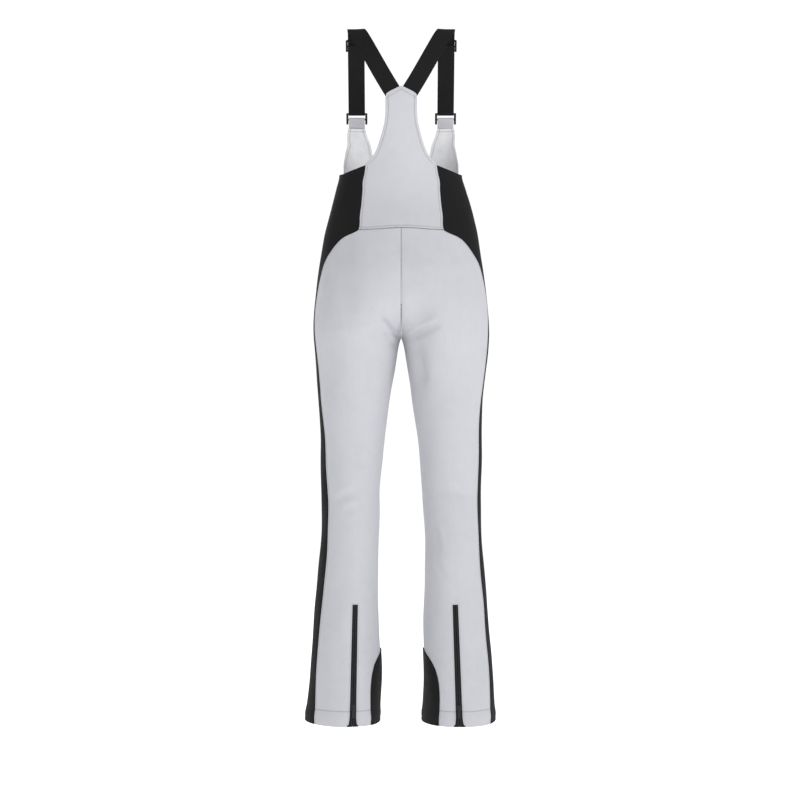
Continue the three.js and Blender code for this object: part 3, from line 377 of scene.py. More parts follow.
def drape(p, n):
    """How far the worn cloth stands out from its pattern's surface."""
    out = sum(size * np.sin(p @ wave + phase) for wave, phase, size in WAVES)
    behind = smoothstep(-0.1, 0.5, n[..., 1])
    before = smoothstep(-0.1, 0.5, -n[..., 1])
    for fold in BACK_FOLDS:
        out = out + behind * fold_depth(p, fold)
    for fold in FRONT_FOLDS:
        out = out + before * fold_depth(p, fold)
    for x, z, wide, high, depth in BACK_HOLLOWS:
        far = -(((p[..., 0] - x) / wide) ** 2) - ((p[..., 2] - z) / high) ** 2
        out = out - behind * HOLLOW_GAIN * depth * np.exp(far)
    out = out + 1.3 * np.exp(-(((p[..., 2] - 16) / 9) ** 2))
    for a, b in ZIP_LINES:
        out = out * smoothstep(8, 26, from_line(p, a, b))
    cleft = (1 - smoothstep(1, 20, np.abs(p[..., 0]))) * (1 - smoothstep(860, 920, p[..., 2]))
    out = out * (1 - cleft)
    out = out * (1 - 0.85 * smoothstep(1150, 1245, p[..., 2]))
    return np.clip(out, -9, 4)


def draped(z, s, side, flip=None):
    """Points of the worn cloth's outer face and outward directions, with the given side's stance."""
    p, n = surface(z, s, TWIST[side])
    sign = SIDES[side] if flip is None else flip
    p, n = p.copy(), n.copy()
    p[..., 0] *= sign
    n[..., 0] *= sign
    worn = p + n * drape(p, n)[..., None]
    worn[..., 2] += settle(p, n)
    return worn, n


# ---- Materials ----
def new_material(name):
    material = bpy.data.materials.new(name)
    material.use_nodes = True
    nodes = material.node_tree.nodes
    return material, nodes, material.node_tree.links, nodes["Principled BSDF"]


def math_node(nodes, links, operation, a, b):
    node = nodes.new("ShaderNodeMath")
    node.operation = operation
    for socket, value in zip(node.inputs, (a, b)):
        if isinstance(value, (int, float)):
            socket.default_value = value
        else:
            links.new(value, socket)
    return node.outputs[0]


def noise(nodes, links, vector, scale, detail=2.0, roughness=0.5):
    node = nodes.new("ShaderNodeTexNoise")
    node.inputs["Scale"].default_value = scale
    node.inputs["Detail"].default_value = detail
    node.inputs["Roughness"].default_value = roughness
    links.new(vector, node.inputs["Vector"])
    return node.outputs["Fac"]


def ramp(nodes, links, value, stops):
    node = nodes.new("ShaderNodeValToRGB")
    node.color_ramp.elements[0].position = stops[0][0]
    node.color_ramp.elements[0].color = (*stops[0][1], 1)
    node.color_ramp.elements[1].position = stops[-1][0]
    node.color_ramp.elements[1].color = (*stops[-1][1], 1)
    for at, colour in stops[1:-1]:
        node.color_ramp.elements.new(at).color = (*colour, 1)
    links.new(value, node.inputs["Fac"])
    return node.outputs["Color"]


def tint(colour, by):
    return tuple(c * by for c in colour)


def threads(nodes, links, pitch, ratio=1.0, twill=0.0):
    """Rounded threads in both directions of the cloth's own map, as a height from 0 to 1."""
    uv = nodes.new("ShaderNodeUVMap")
    uv.uv_map = "cloth"
    split = nodes.new("ShaderNodeSeparateXYZ")
    links.new(uv.outputs["UV"], split.inputs[0])
    turn = 2 * math.pi / pitch
    across = math_node(nodes, links, "MULTIPLY", split.outputs["X"], turn)
    along = math_node(nodes, links, "MULTIPLY", split.outputs["Y"], turn * ratio)
    if twill:
        across = math_node(nodes, links, "ADD", across, math_node(nodes, links, "MULTIPLY", along, twill))
    warp = math_node(nodes, links, "SINE", across, 0)
    weft = math_node(nodes, links, "SINE", along, 0)
    woven = math_node(nodes, links, "MULTIPLY", warp, weft)
    return math_node(nodes, links, "ADD", math_node(nodes, links, "MULTIPLY", woven, 0.5), 0.5)


def fabric(name, colour, pitch, rough, sheen, specular, relief, ratio=1.0, twill=0.0, wear=0.06):
    """Woven cloth: threads, fuzz, slubs, a little unevenness of colour, and painted shade in its seams and
    stitch grooves.
    """
    material, nodes, links, shader = new_material(name)
    place = nodes.new("ShaderNodeTexCoord").outputs["Object"]
    weave = threads(nodes, links, pitch, ratio, twill)
    fuzz = noise(nodes, links, place, 900, 3)
    slub = noise(nodes, links, place, 55, 4, 0.6)
    broad = noise(nodes, links, place, 7, 3)
    mixed = math_node(nodes, links, "ADD", math_node(nodes, links, "MULTIPLY", slub, 0.55),
                      math_node(nodes, links, "MULTIPLY", broad, 0.45))
    shade = math_node(nodes, links, "ADD", mixed, math_node(nodes, links, "MULTIPLY", weave, 0.12))
    plain = ramp(nodes, links, shade, [
        (0.30, tint(colour, 1 - 1.6 * wear)), (0.5, colour), (0.72, tint(colour, 1 + wear)),
    ])
    # Painted shade: a per-point attribute darkens the colour towards 0.42 of itself in seams and stitch
    # grooves.
    crease = nodes.new("ShaderNodeAttribute")
    crease.attribute_name = "painted_seam_shade"
    dark = nodes.new("ShaderNodeMix")
    dark.data_type = "RGBA"
    links.new(crease.outputs["Fac"], dark.inputs[0])
    links.new(plain, dark.inputs[6])
    dark.inputs[7].default_value = (*tint(colour, 0.42), 1)
    links.new(dark.outputs[2], shader.inputs["Base Color"])
    height = math_node(nodes, links, "ADD", math_node(nodes, links, "MULTIPLY", weave, 0.6),
                       math_node(nodes, links, "MULTIPLY", fuzz, 0.5))
    height = math_node(nodes, links, "ADD", height, math_node(nodes, links, "MULTIPLY", slub, 0.8))
    bump = nodes.new("ShaderNodeBump")
    bump.inputs["Strength"].default_value = relief
    bump.inputs["Distance"].default_value = 0.0003
    links.new(height, bump.inputs["Height"])
    links.new(bump.outputs["Normal"], shader.inputs["Normal"])
    grain = math_node(nodes, links, "MULTIPLY", slub, 0.16)
    links.new(math_node(nodes, links, "ADD", grain, rough - 0.08), shader.inputs["Roughness"])
    shader.inputs["Sheen Weight"].default_value = sheen
    shader.inputs["Sheen Roughness"].default_value = 0.45
    shader.inputs["Specular IOR Level"].default_value = specular
    return material


def hard(name, colour, worn, rough, metallic, specular):
    """Moulded nylon or painted metal: faint grain, and paler where edges rub."""
    material, nodes, links, shader = new_material(name)
    place = nodes.new("ShaderNodeTexCoord").outputs["Object"]
    grain = noise(nodes, links, place, 1400, 2)
    patch = noise(nodes, links, place, 90, 4, 0.65)
    pointiness = nodes.new("ShaderNodeNewGeometry").outputs["Pointiness"]
    edge = math_node(nodes, links, "MULTIPLY", pointiness, patch)
    links.new(ramp(nodes, links, edge, [(0.24, colour), (0.33, tint(colour, 1.35)), (0.42, worn)]),
              shader.inputs["Base Color"])
    links.new(math_node(nodes, links, "ADD", math_node(nodes, links, "MULTIPLY", patch, 0.2), rough - 0.1),
              shader.inputs["Roughness"])
    bump = nodes.new("ShaderNodeBump")
    bump.inputs["Strength"].default_value = 0.25
    bump.inputs["Distance"].default_value = 0.00015
    links.new(grain, bump.inputs["Height"])
    links.new(bump.outputs["Normal"], shader.inputs["Normal"])
    shader.inputs["Metallic"].default_value = metallic
    shader.inputs["Specular IOR Level"].default_value = specular
    return material


LIGHT = fabric("light softshell", (0.512, 0.517, 0.546),
               0.0007, 0.86, 0.12, 0.22, 0.55, twill=1.0, wear=0.035)
FLEECE = fabric("brushed back", (0.78, 0.782, 0.80), 0.0013, 0.95, 0.3, 0.1, 0.9, wear=0.10)
BLACK = fabric("black softshell", (0.0085, 0.0085, 0.0092),
               0.0007, 0.85, 0.02, 0.14, 0.55, twill=1.0, wear=0.12)
GUARD = fabric("scuff cloth", (0.009, 0.009, 0.0095), 0.0011, 0.8, 0.015, 0.16, 0.8, wear=0.2)
ELASTIC = fabric("elastic webbing", (0.0095, 0.0095, 0.010),
                 0.0012, 0.85, 0.02, 0.14, 0.9, ratio=0.55, wear=0.2)
LINING = fabric("lining", (0.022, 0.022, 0.026), 0.0005, 0.7, 0.05, 0.3, 0.5, wear=0.15)
TAPE_CLOTH = fabric("zip tape", (0.012, 0.0125, 0.015), 0.0006, 0.75, 0.02, 0.2, 0.6, ratio=0.6, wear=0.2)
# The real thread matches the cloth; this one is a little darker, as painted shade of the groove it lies in.
THREAD_LIGHT = fabric("light thread", (0.47, 0.475, 0.505), 0.0004, 0.7, 0.05, 0.3, 0.5, wear=0.05)
THREAD_DARK = fabric("dark thread", (0.02, 0.02, 0.022), 0.0004, 0.7, 0.03, 0.3, 0.5, wear=0.2)
# The bar tacks are real; their thread is painted much paler than the cloth as the highlight on them.
THREAD_PALE = fabric("pale thread", (0.82, 0.82, 0.84), 0.0004, 0.7, 0.05, 0.3, 0.5, wear=0.03)
NYLON = hard("black nylon", (0.014, 0.014, 0.015), (0.04, 0.04, 0.041), 0.62, 0.0, 0.2)
COIL = hard("zip coil", (0.014, 0.0145, 0.016), (0.05, 0.05, 0.052), 0.42, 0.0, 0.45)
METAL = hard("black zinc", (0.013, 0.013, 0.014), (0.07, 0.07, 0.068), 0.42, 0.3, 0.5)


# ---- Meshes ----
def to_world(points):
    return (np.asarray(points, float).reshape(-1, 3) - [0, 0, REST]) * 0.001


def make_object(name, verts, faces, materials, uv=None, smooth_angle=50):
    """A mesh object from points in millimetres; faces carry a material number each."""
    mesh = bpy.data.meshes.new(name)
    mesh.from_pydata(to_world(verts).tolist(), [], [f for f, _ in faces])
    for material in materials:
        mesh.materials.append(material)
    mesh.polygons.foreach_set("material_index", [m for _, m in faces])
    mesh.polygons.foreach_set("use_smooth", [True] * len(faces))
    corners = np.zeros(len(mesh.loops), int)
    mesh.loops.foreach_get("vertex_index", corners)
    coordinates = to_world(verts)[:, :2] if uv is None else np.asarray(uv, float) * 0.001
    mesh.uv_layers.new(name="cloth").data.foreach_set("uv", coordinates[corners].ravel())
    mesh.set_sharp_from_angle(angle=math.radians(smooth_angle))
    piece = bpy.data.objects.new(name, mesh)
    bpy.context.scene.collection.objects.link(piece)
    return piece


def grid_faces(rows, cols, start, flipped, wrap=False, hole=None):
    """Faces of a closed shell whose outer grid starts at vertex `start` and whose inner grid follows it."""
    across = cols if wrap else cols - 1
    present = np.ones((rows - 1, across), bool) if hole is None else ~hole
    inner = rows * cols
    faces = []

    def there(i, j):
        if wrap:
            j %= across
        return 0 <= i < rows - 1 and 0 <= j < across and present[i, j]

    for i in range(rows - 1):
        for j in range(across):
            if not present[i, j]:
                continue
            k = (j + 1) % cols
            a, b = start + i * cols + j, start + (i + 1) * cols + j
            c, d = start + (i + 1) * cols + k, start + i * cols + k
            faces.append(((a, d, c, b), 0))
            faces.append(((a + inner, b + inner, c + inner, d + inner), 1))
            sides = (((-1, 0), (a, d)), ((0, 1), (d, c)), ((1, 0), (c, b)), ((0, -1), (b, a)))
            for (di, dj), (p, q) in sides:
                if not there(i + di, j + dj):
                    faces.append(((q, p, p + inner, q + inner), 0))
    if flipped:
        faces = [(f[::-1], m) for f, m in faces]
    return faces


def shell(name, outer, inner, uv, flipped, materials, wrap=False, hole=None):
    """A closed cloth shell from two grids of points."""
    rows, cols = outer.shape[:2]
    verts = np.concatenate([outer.reshape(-1, 3), inner.reshape(-1, 3)])
    faces = grid_faces(rows, cols, 0, flipped, wrap, hole)
    if len(materials) == 1:
        faces = [(f, 0) for f, _ in faces]
    flat = np.concatenate([uv.reshape(-1, 2)] * 2)
    return make_object(name, verts, faces, materials, flat)


def finish_piece(piece, nodes, body="garment"):
    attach(piece, body)
    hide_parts(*nodes)
    return piece


def grid_lengths(points, wrap=False):
    """The longest row, the longest column and the area of a grid of points."""
    if wrap:
        points = np.concatenate([points, points[:, :1]], 1)
    along_rows = np.linalg.norm(np.diff(points, axis=1), axis=-1).sum(1).max()
    along_cols = np.linalg.norm(np.diff(points, axis=0), axis=-1).sum(0).max()
    a = points[1:, 1:] - points[:-1, :-1]
    b = points[1:, :-1] - points[:-1, 1:]
    return along_rows, along_cols, 0.5 * np.linalg.norm(np.cross(a, b), axis=-1).sum()


def declare_cut(flat_points, wrap=False, share=1.0):
    """Works out the size a sheet has when it is laid flat, and does nothing with it."""
    width, length, area = grid_lengths(flat_points, wrap)
    area = min(area * share, width * length)


# How a panel's outer face sinks near an edge of each kind, and how much its inner face rises.
def sink(kind, d):
    if kind == "seam":
        return 0.85 * np.exp(-((d / 0.95) ** 2))
    if kind == "stitched":
        stitch = 0.42 * np.exp(-(((d - 4.6) / 0.6) ** 2))
        return 0.7 * np.exp(-((d / 0.8) ** 2)) - 0.35 * np.exp(-(((d - 2.4) / 1.1) ** 2)) + stitch
    if kind == "open":
        facing = 0.45 * np.exp(-(((d - 5.6) / 0.6) ** 2)) - 0.3 * np.exp(-(((d - 3.0) / 1.6) ** 2))
        return 0.65 * np.exp(-((d / 0.55) ** 2)) + facing
    if kind == "zip":
        return 0.6 * np.exp(-((d / 0.6) ** 2)) + 0.3 * np.exp(-(((d - 2.6) / 0.5) ** 2))
    return 0.65 * np.exp(-((d / 0.55) ** 2)) + 0.5 * np.exp(-(((d - HEM_STITCH) / 0.7) ** 2))


# Painted shade near an edge of each kind: where it lies from the edge, its half width and how dark it is.
PAINTED_SHADE_MARKS = {
    "seam": [(0, 1.0, 0.9)], "stitched": [(0, 0.9, 0.9), (4.6, 0.8, 0.55)], "open": [(5.6, 0.8, 0.6)],
    "zip": [(0, 0.5, 0.5), (2.6, 0.6, 0.35)], "hem": [(0, 0.5, 0.3), (HEM_STITCH, 0.9, 0.6)],
}


def painted_seam_shade(edges):
    """How much painted shade darkens the cloth in its seams and stitch grooves, from 0 to 1."""
    marks = [(d, *mark) for d, kind in edges for mark in PAINTED_SHADE_MARKS[kind]]
    return np.clip(sum(dark * np.exp(-(((d - at) / wide) ** 2)) for d, at, wide, dark in marks), 0, 1)


EDGE = np.array([0, 0.35, 0.9, 1.6, 2.4, 3.2, 4.0, 4.6, 5.2, 5.8, 6.6, 8.0])
ZIP_EDGE = np.array([0, 0.4, 0.9, 1.5, 2.1, 2.6, 3.1, 4.0])


def between(low, high, step, edge_low=EDGE, edge_high=EDGE):
    """Levels from low to high, close together near both ends."""
    inner_low, inner_high = low + edge_low[-1], high - edge_high[-1]
    count = max(2, int(round((inner_high - inner_low) / step)) + 1)
    middle = np.linspace(inner_low, inner_high, count)[1:-1]
    return np.concatenate([low + edge_low, middle, (high - edge_high)[::-1]])


def spread(start, end, count, edge_start=EDGE, edge_end=EDGE):
    """Columns from start to end at every level, close together near both ends."""
    share = np.minimum(1, (end - start) / (1.25 * (edge_start[-1] + edge_end[-1])))[:, None]
    near = start[:, None] + share * edge_start
    far = end[:, None] - share * edge_end[::-1]
    t = np.linspace(0, 1, count + 2)[1:-1]
    return np.concatenate([near, near[:, -1:] * (1 - t) + far[:, :1] * t, far], 1)


def build_cloth(name, z, s, side, edges, materials, node=None, flip=None, hole=None, lift=0.0,
                thick=CLOTH, widen=None):
    """One panel: its face follows the worn surface and sinks at its edges; its back is `thick` further in."""
    p, n = draped(z, s, side, flip)
    down = sum(sink(kind, d) for d, kind in edges)
    rise = sum(0.4 * np.exp(-((d / 0.5) ** 2)) for d, kind in edges if kind in ("open", "zip", "hem"))
    if widen is not None:
        p = p + widen
    outer = p + n * (lift - down)[..., None]
    inner = p + n * (lift - thick + rise)[..., None]
    flipped = flip is None and SIDES[side] < 0
    piece = shell(name, outer, inner, np.stack([s, z], -1), flipped, materials, hole=hole)
    # Painted shade of the seams and stitch grooves, stored on the points for the material.
    shade = np.tile(painted_seam_shade(edges).ravel(), 2)
    piece.data.attributes.new("painted_seam_shade", "FLOAT", "POINT").data.foreach_set("value", shade)
    finish_piece(piece, [node or name.replace("cloth_", "")])
    flat, _ = surface(z, s, TWIST[side])
    share = 1.0 if hole is None else 1 - hole.sum() / hole.size * 0.5
    declare_cut(flat, share=share)
    return piece


def in_grid(levels, s):
    return np.broadcast_to(levels[:, None], s.shape).copy()


# ---- Panels ----
def insert(levels, *extra):
    merged = np.unique(np.round(np.concatenate([levels, *extra]), 3))
    keep = np.concatenate([[True], np.diff(merged) > 0.12])
    return merged[keep]


def leg_levels():
    base = between(0, YOKE - SEAM_GAP / 2, 5.0)
    hem = HEM_STITCH + np.array([-2.4, -1.4, -0.7, 0, 0.7, 1.4, 2.4])
    zip_top = HEM_ZIP + np.array([-1.2, -0.5, 0, 0.5, 1.2, 2, 2.6, 3.2, 4.2])
    crotch = np.arange(774, 866, 2.2)
    pocket = np.concatenate([
        POCKET_BOTTOM + np.array([-4, -3, -2.4, -1.6, -0.8, 0, 0.6]),
        POCKET_TOP + np.array([-0.6, 0, 0.8, 1.6, 2.4, 3]),
    ])
    return insert(base, hem, zip_top, crotch, pocket)


LEG = leg_levels()


def hem_gape(z):
    """How much wider the hem zip's slot gets on each side towards the hem."""
    return 1.2 * np.clip(1 - z / HEM_ZIP, 0, 1) + 3.2 * np.clip(1 - z / 24, 0, 1) ** 2


def leg_panel(name, side, start, end, slot_middle, slot_low, slot_high, near_start, near_end, kinds, counts):
    """A leg panel with a slot for a zip. Above and below the zip the slot's columns run on in the cloth."""
    z = LEG
    a, b = start(z), end(z)
    middle = slot_middle(z)
    half = (ZIP_SLOT / 2 + SEAM_GAP) * np.minimum(1, np.minimum(middle - a, b - middle) / 26)
    gape = hem_gape(z) if slot_low <= 0 else 0 * z
    near, far = middle - half - gape, middle + half + gape
    left = spread(a, near, counts[0], near_start, ZIP_EDGE)
    right = spread(far, b, counts[1], ZIP_EDGE, near_end)
    s = np.concatenate([left, right], 1)
    slot_col = left.shape[1] - 1
    grid = in_grid(z, s)
    hole = np.zeros((len(z) - 1, s.shape[1] - 1), bool)
    hole[:, slot_col] = (z[:-1] >= slot_low - 0.01) & (z[1:] <= slot_high + 0.01)
    beyond = np.maximum(np.maximum(slot_low - grid, grid - slot_high), 0)
    aside = np.maximum(np.abs(s - middle[:, None]) - (half + gape)[:, None], 0)
    edges = [
        (s - a[:, None], kinds[0]), (b[:, None] - s, kinds[1]), (np.hypot(aside, beyond), "zip"),
        (grid, "hem"), (YOKE - SEAM_GAP / 2 - grid, "seam"),
    ]
    widen = np.zeros((*s.shape, 3))
    if slot_low <= 0:
        corner = np.exp(-((aside / 3.2) ** 2)) * np.clip(1 - grid / 9, 0, 1) ** 2
        widen[..., 2] = 3.6 * corner
    return build_cloth(name, grid, s, side, edges, [LIGHT, FLEECE], hole=hole, widen=widen)


def back_start(z):
    return back_seam(z) + edge_inset(back_seam, z)


def stripe_start(side):
    seam = stripe_seam(side)
    return lambda z: seam(z) + edge_inset(seam, z)


def back_end(z):
    return back_length(z) - SEAM_GAP / 2


def front_start(z):
    return front_seam(z) - edge_inset(front_seam, z)


def front_end(z):
    slot = ZIP_SLOT / 2 + SEAM_GAP / 2
    return -front_length(z) + np.where(z > FLY_BOTTOM - 1, slot, SEAM_GAP / 2)


def share_line(start, end, middle, at):
    """A line that keeps its share of the panel's width at the height `at`."""
    share = (middle(at) - start(at)) / (end(at) - start(at))
    return lambda z: start(z) + (end(z) - start(z)) * share


hem_above = share_line(back_start, back_end, quarter_at, HEM_ZIP)
pocket_below = share_line(front_end, front_start, pocket_middle, POCKET_BOTTOM)


def hem_slot_middle(z):
    return np.where(z <= HEM_ZIP, quarter_at(z), hem_above(z))


def pocket_slot_middle(z):
    return np.where(z < POCKET_BOTTOM, pocket_below(z), pocket_middle(z))


def side_panel(side):
    base = LEG[:-1]
    shares = between(0, 116, 5.0)[1:] / 116
    cols = 22
    rear_seam = stripe_seam(side)
    levels = np.concatenate([base, np.full(len(shares), YOKE)])
    start = front_seam(levels) + edge_inset(front_seam, levels)
    end = rear_seam(levels) - edge_inset(rear_seam, levels)
    s = spread(start, end, cols)
    u = 2 * (s - start[:, None]) / (end - start)[:, None] - 1
    z = in_grid(levels, s)
    up = len(base)
    z[up:] = YOKE + (side_top_edge(u[up:]) - YOKE) * shares[:, None]
    share = (s[up:] - start[up:, None]) / (end - start)[up:, None]
    start_up = front_seam(z[up:]) + edge_inset(front_seam, z[up:])
    end_up = back_seam(z[up:]) - edge_inset(back_seam, z[up:])
    s[up:] = start_up + (end_up - start_up) * share
    all_start = front_seam(z) + edge_inset(front_seam, z)
    all_end = rear_seam(z) - edge_inset(rear_seam, z)
    edges = [
        (s - all_start, "seam"), (all_end - s, "seam"), (z, "hem"), (side_top_edge(u) - z, "open"),
    ]
    return build_cloth(f"cloth_side_panel_{side}", z, s, side, edges, [BLACK, LINING])


def back_bib():
    low = between(YOKE + SEAM_GAP / 2, BACK_CORNER, 5.0)
    high = np.linspace(BACK_CORNER, BIB_SHOULDER, 34)[1:]
    roof = np.linspace(BIB_SHOULDER, BIB_PEAK, 14)[1:]
    levels = np.concatenate([low[:-1], high, roof])
    levels = insert(levels, BIB_SHOULDER - np.array([5.6, 4.4, 2.4, 1.2, 0.5]))
    seam = back_seam(levels) + edge_inset(back_seam, levels)
    edge = np.where(levels <= BACK_CORNER, seam, back_armhole(levels))
    half = back_length(levels) - edge
    share = np.minimum(1, half / 16)[:, None]
    near = np.concatenate([EDGE, [10.5]]) * share
    inward = np.linspace(0, 1, 12)[1:]
    distance = np.concatenate([near, near[:, -1:] + (half[:, None] - near[:, -1:]) * inward], 1)
    side_s = edge[:, None] + distance
    s = np.concatenate([side_s, side_s[:, ::-1][:, 1:]], 1)
    flip = np.ones(s.shape)
    flip[:, side_s.shape[1]:] = -1
    z = in_grid(levels, s)
    from_edge = s - edge[:, None]
    below = levels[:, None] <= BACK_CORNER + 0 * s
    point, _ = surface(z, s, 0)
    slope = (BIB_PEAK - BIB_SHOULDER) / 31.5
    roof_distance = np.abs((BIB_PEAK - slope * np.abs(point[..., 0]) - z) / math.hypot(1, slope))
    slanted = from_edge / np.hypot(1, np.gradient(edge, levels))[:, None]
    from_edge = np.where(z > BIB_SHOULDER, 99, slanted)
    edges = [
        (np.where(below, from_edge, 99), "stitched"), (np.where(below, 99, from_edge), "open"),
        (z - YOKE - SEAM_GAP / 2, "stitched"), (roof_distance, "open"),
    ]
    return build_cloth("cloth_back_bib_panel", z, s, "left", edges, [LIGHT, FLEECE],
                       flip=flip)


def front_bib(side):
    low = between(YOKE + SEAM_GAP / 2, NECK_BOTTOM, 5.0)[:-1]
    neck = NECK_BOTTOM + np.array([0, 0.6, 1.3, 2.2, 3.4, 5, 7, 9.5, 12.5, 16])
    high = between(NECK_BOTTOM + 20, FRONT_TOP, 4.0, edge_low=np.array([0, 4]))
    levels = np.concatenate([low, neck, high])
    zip_edge = -front_length(levels) + ZIP_SLOT / 2 + SEAM_GAP / 2
    inner = np.where(levels <= NECK_BOTTOM, zip_edge, neckline(levels))
    seam = front_seam(levels) - edge_inset(front_seam, levels)
    outer = np.where(levels <= NECK_BOTTOM, seam, front_armhole(levels))
    s = spread(inner, outer, 16, EDGE, EDGE)
    z = in_grid(levels, s)
    lean_in = np.hypot(1, np.gradient(inner, levels))[:, None]
    lean_out = np.hypot(1, np.gradient(outer, levels))[:, None]
    below = z <= NECK_BOTTOM
    flat_neck = 30 * (1 - smoothstep(NECK_BOTTOM + 2, NECK_BOTTOM + 16, z))
    edges = [
        (np.where(below, s - inner[:, None], 99), "zip"),
        (np.where(below, 99, (s - inner[:, None]) / lean_in + flat_neck), "open"),
        (np.where(below, outer[:, None] - s, 99), "stitched"),
        (np.where(below, 99, (outer[:, None] - s) / lean_out), "open"),
        (z - YOKE - SEAM_GAP / 2, "stitched"), (FRONT_TOP - z, "open"),
    ]
    return build_cloth(f"cloth_front_bib_panel_{side}", z, s, side, edges, [LIGHT, FLEECE])


GUARD_HEIGHT = 142
GUARD_HALF = 92  # along the cloth, from the inseam to its edge


def guard_half(z):
    return GUARD_HALF * np.sqrt(1 - (z / GUARD_HEIGHT) ** 4.2)


def scuff_guard(side):
    share = np.sin(np.linspace(0, math.pi / 2, 38)) * 0.994
    levels = insert(share * GUARD_HEIGHT, EDGE[:8])
    half = guard_half(levels)
    profile = np.concatenate([EDGE, np.linspace(8, GUARD_HALF, 14)[1:]]) / GUARD_HALF
    across = half[:, None] * profile
    s_back = back_length(levels)[:, None] - half[:, None] + across
    s_front = -front_length(levels)[:, None] + half[:, None] - across[:, ::-1][:, 1:]
    s = np.concatenate([s_back, s_front], 1)
    z = in_grid(levels, s)
    lean = np.hypot(1, np.gradient(half, levels))[:, None]
    edges = [
        (across_both(across) / np.minimum(lean, 3), "stitched"), (z, "open"),
    ]
    piece = build_cloth(f"cloth_scuff_guard_{side}", z, s, side, edges, [GUARD],
                        lift=2.3, thick=1.2)
    return piece


def across_both(across):
    return np.concatenate([across, across[:, ::-1][:, 1:]], 1)


for side in SIDES:
    leg_panel(f"cloth_back_leg_panel_{side}", side, stripe_start(side), back_end, hem_slot_middle, 0,
              HEM_ZIP, EDGE, EDGE, ("stitched", "seam"), (16, 20))
    leg_panel(f"cloth_front_leg_panel_{side}", side, front_end, front_start, pocket_slot_middle,
              POCKET_BOTTOM, POCKET_TOP, EDGE, EDGE, ("seam", "stitched"), (22, 14))
    side_panel(side)
    front_bib(side)
    scuff_guard(side)
back_bib()

# ---- Small solid shapes, as (points, faces) in a local frame ----
def rounded_box(size, centre, bevel, segments=2):
    made = bmesh.new()
    bmesh.ops.create_cube(made, size=1)
    bmesh.ops.scale(made, vec=size, verts=made.verts)
    bmesh.ops.bevel(made, geom=list(made.edges), offset=bevel, segments=segments, affect="EDGES", profile=0.5)
    made.verts.index_update()
    points = np.array([v.co for v in made.verts]) + centre
    faces = [tuple(v.index for v in f.verts) for f in made.faces]
    made.free()
    return points, faces


def joined(*parts):
    points, faces, start = [], [], 0
    for p, f in parts:
        points.append(p)
        faces += [tuple(k + start for k in face) for face in f]
        start += len(p)
    return np.concatenate(points), faces


def frame_ring(width, height, radius, bar, thick, y, squareness=0.75):
    """A rounded rectangular frame in the X-Z plane, centred on the origin, of a rounded bar."""
    w, h = (width - bar) / 2 - radius, (height - bar) / 2 - radius
    corner = np.linspace(0, math.pi / 2, 7)
    path, out = [], []
    for quarter, (cx, cz) in enumerate([(w, h), (-w, h), (-w, -h), (w, -h)]):
        for a in corner + quarter * math.pi / 2:
            out.append([math.cos(a), math.sin(a)])
            path.append([cx + radius * math.cos(a), cz + radius * math.sin(a)])
    path, out = np.array(path), np.array(out)
    turn = np.linspace(0, 2 * math.pi, 12, endpoint=False)
    side = np.sign(np.cos(turn)) * np.abs(np.cos(turn)) ** squareness * bar / 2
    deep = np.sign(np.sin(turn)) * np.abs(np.sin(turn)) ** squareness * thick / 2
    flat = path[:, None] + out[:, None] * side[None, :, None]
    points = np.stack([flat[..., 0], np.broadcast_to(y + deep, flat.shape[:2]), flat[..., 1]], -1)
    n, m = points.shape[:2]
    faces = [
        (i * m + j, i * m + (j + 1) % m, (i + 1) % n * m + (j + 1) % m, (i + 1) % n * m + j)
        for i in range(n) for j in range(m)
    ]
    return points.reshape(-1, 3), faces


def beads(centres, along, outward, length, width, height):
    """Lens-shaped stitches or coil turns, one at each centre."""
    along, outward = unit(np.asarray(along, float)), unit(np.asarray(outward, float))
    across = unit(np.cross(along, outward))
    outward = np.cross(across, along)
    turn = np.linspace(0, 2 * math.pi, 6, endpoint=False)
    stations = [(-0.5, 0.0), (-0.36, 0.86), (0.0, 1.0), (0.36, 0.86), (0.5, 0.0)]
    points = []
    for at, full in stations:
        for a in turn if full else [0.0]:
            points.append(
                centres + along * at * length + across * full * math.cos(a) * width / 2
                + outward * full * math.sin(a) * height / 2
            )
    points = np.stack(points, 1)
    pattern = [(0, 1 + (k + 1) % 6, 1 + k) for k in range(6)]
    for ring in (1, 7):
        pattern += [(ring + k, ring + (k + 1) % 6, ring + 6 + (k + 1) % 6, ring + 6 + k) for k in range(6)]
    pattern += [(13 + k, 13 + (k + 1) % 6, 19) for k in range(6)]
    count = points.shape[1]
    faces = [tuple(v + count * i for v in f) for i in range(len(points)) for f in pattern]
    return points.reshape(-1, 3), faces


def in_frame(part, origin, axes):
    points, faces = part
    return origin + points @ np.array(axes), faces


def solid_piece(name, part, material, nodes, body="garment", smooth_angle=42):
    points, faces = part
    piece = make_object(name, points, [(f, 0) for f in faces], [material], smooth_angle=smooth_angle)
    return finish_piece(piece, nodes, body)


# ---- Zips ----
PLATE = 1.2
PLATE_DEPTH = COIL_HEIGHT / 2 + FIT + PLATE / 2
AXLE_DEPTH = CHAIN_DEPTH - PLATE_DEPTH - PLATE / 2 - 2.6
COIL_PITCH = 1.5


def zip_axes(foot, head, outward):
    """Across the zip, into the garment and along the zip."""
    along = unit(head - foot)
    across = unit(np.cross(along, outward))
    return np.array([across, np.cross(along, across), along])


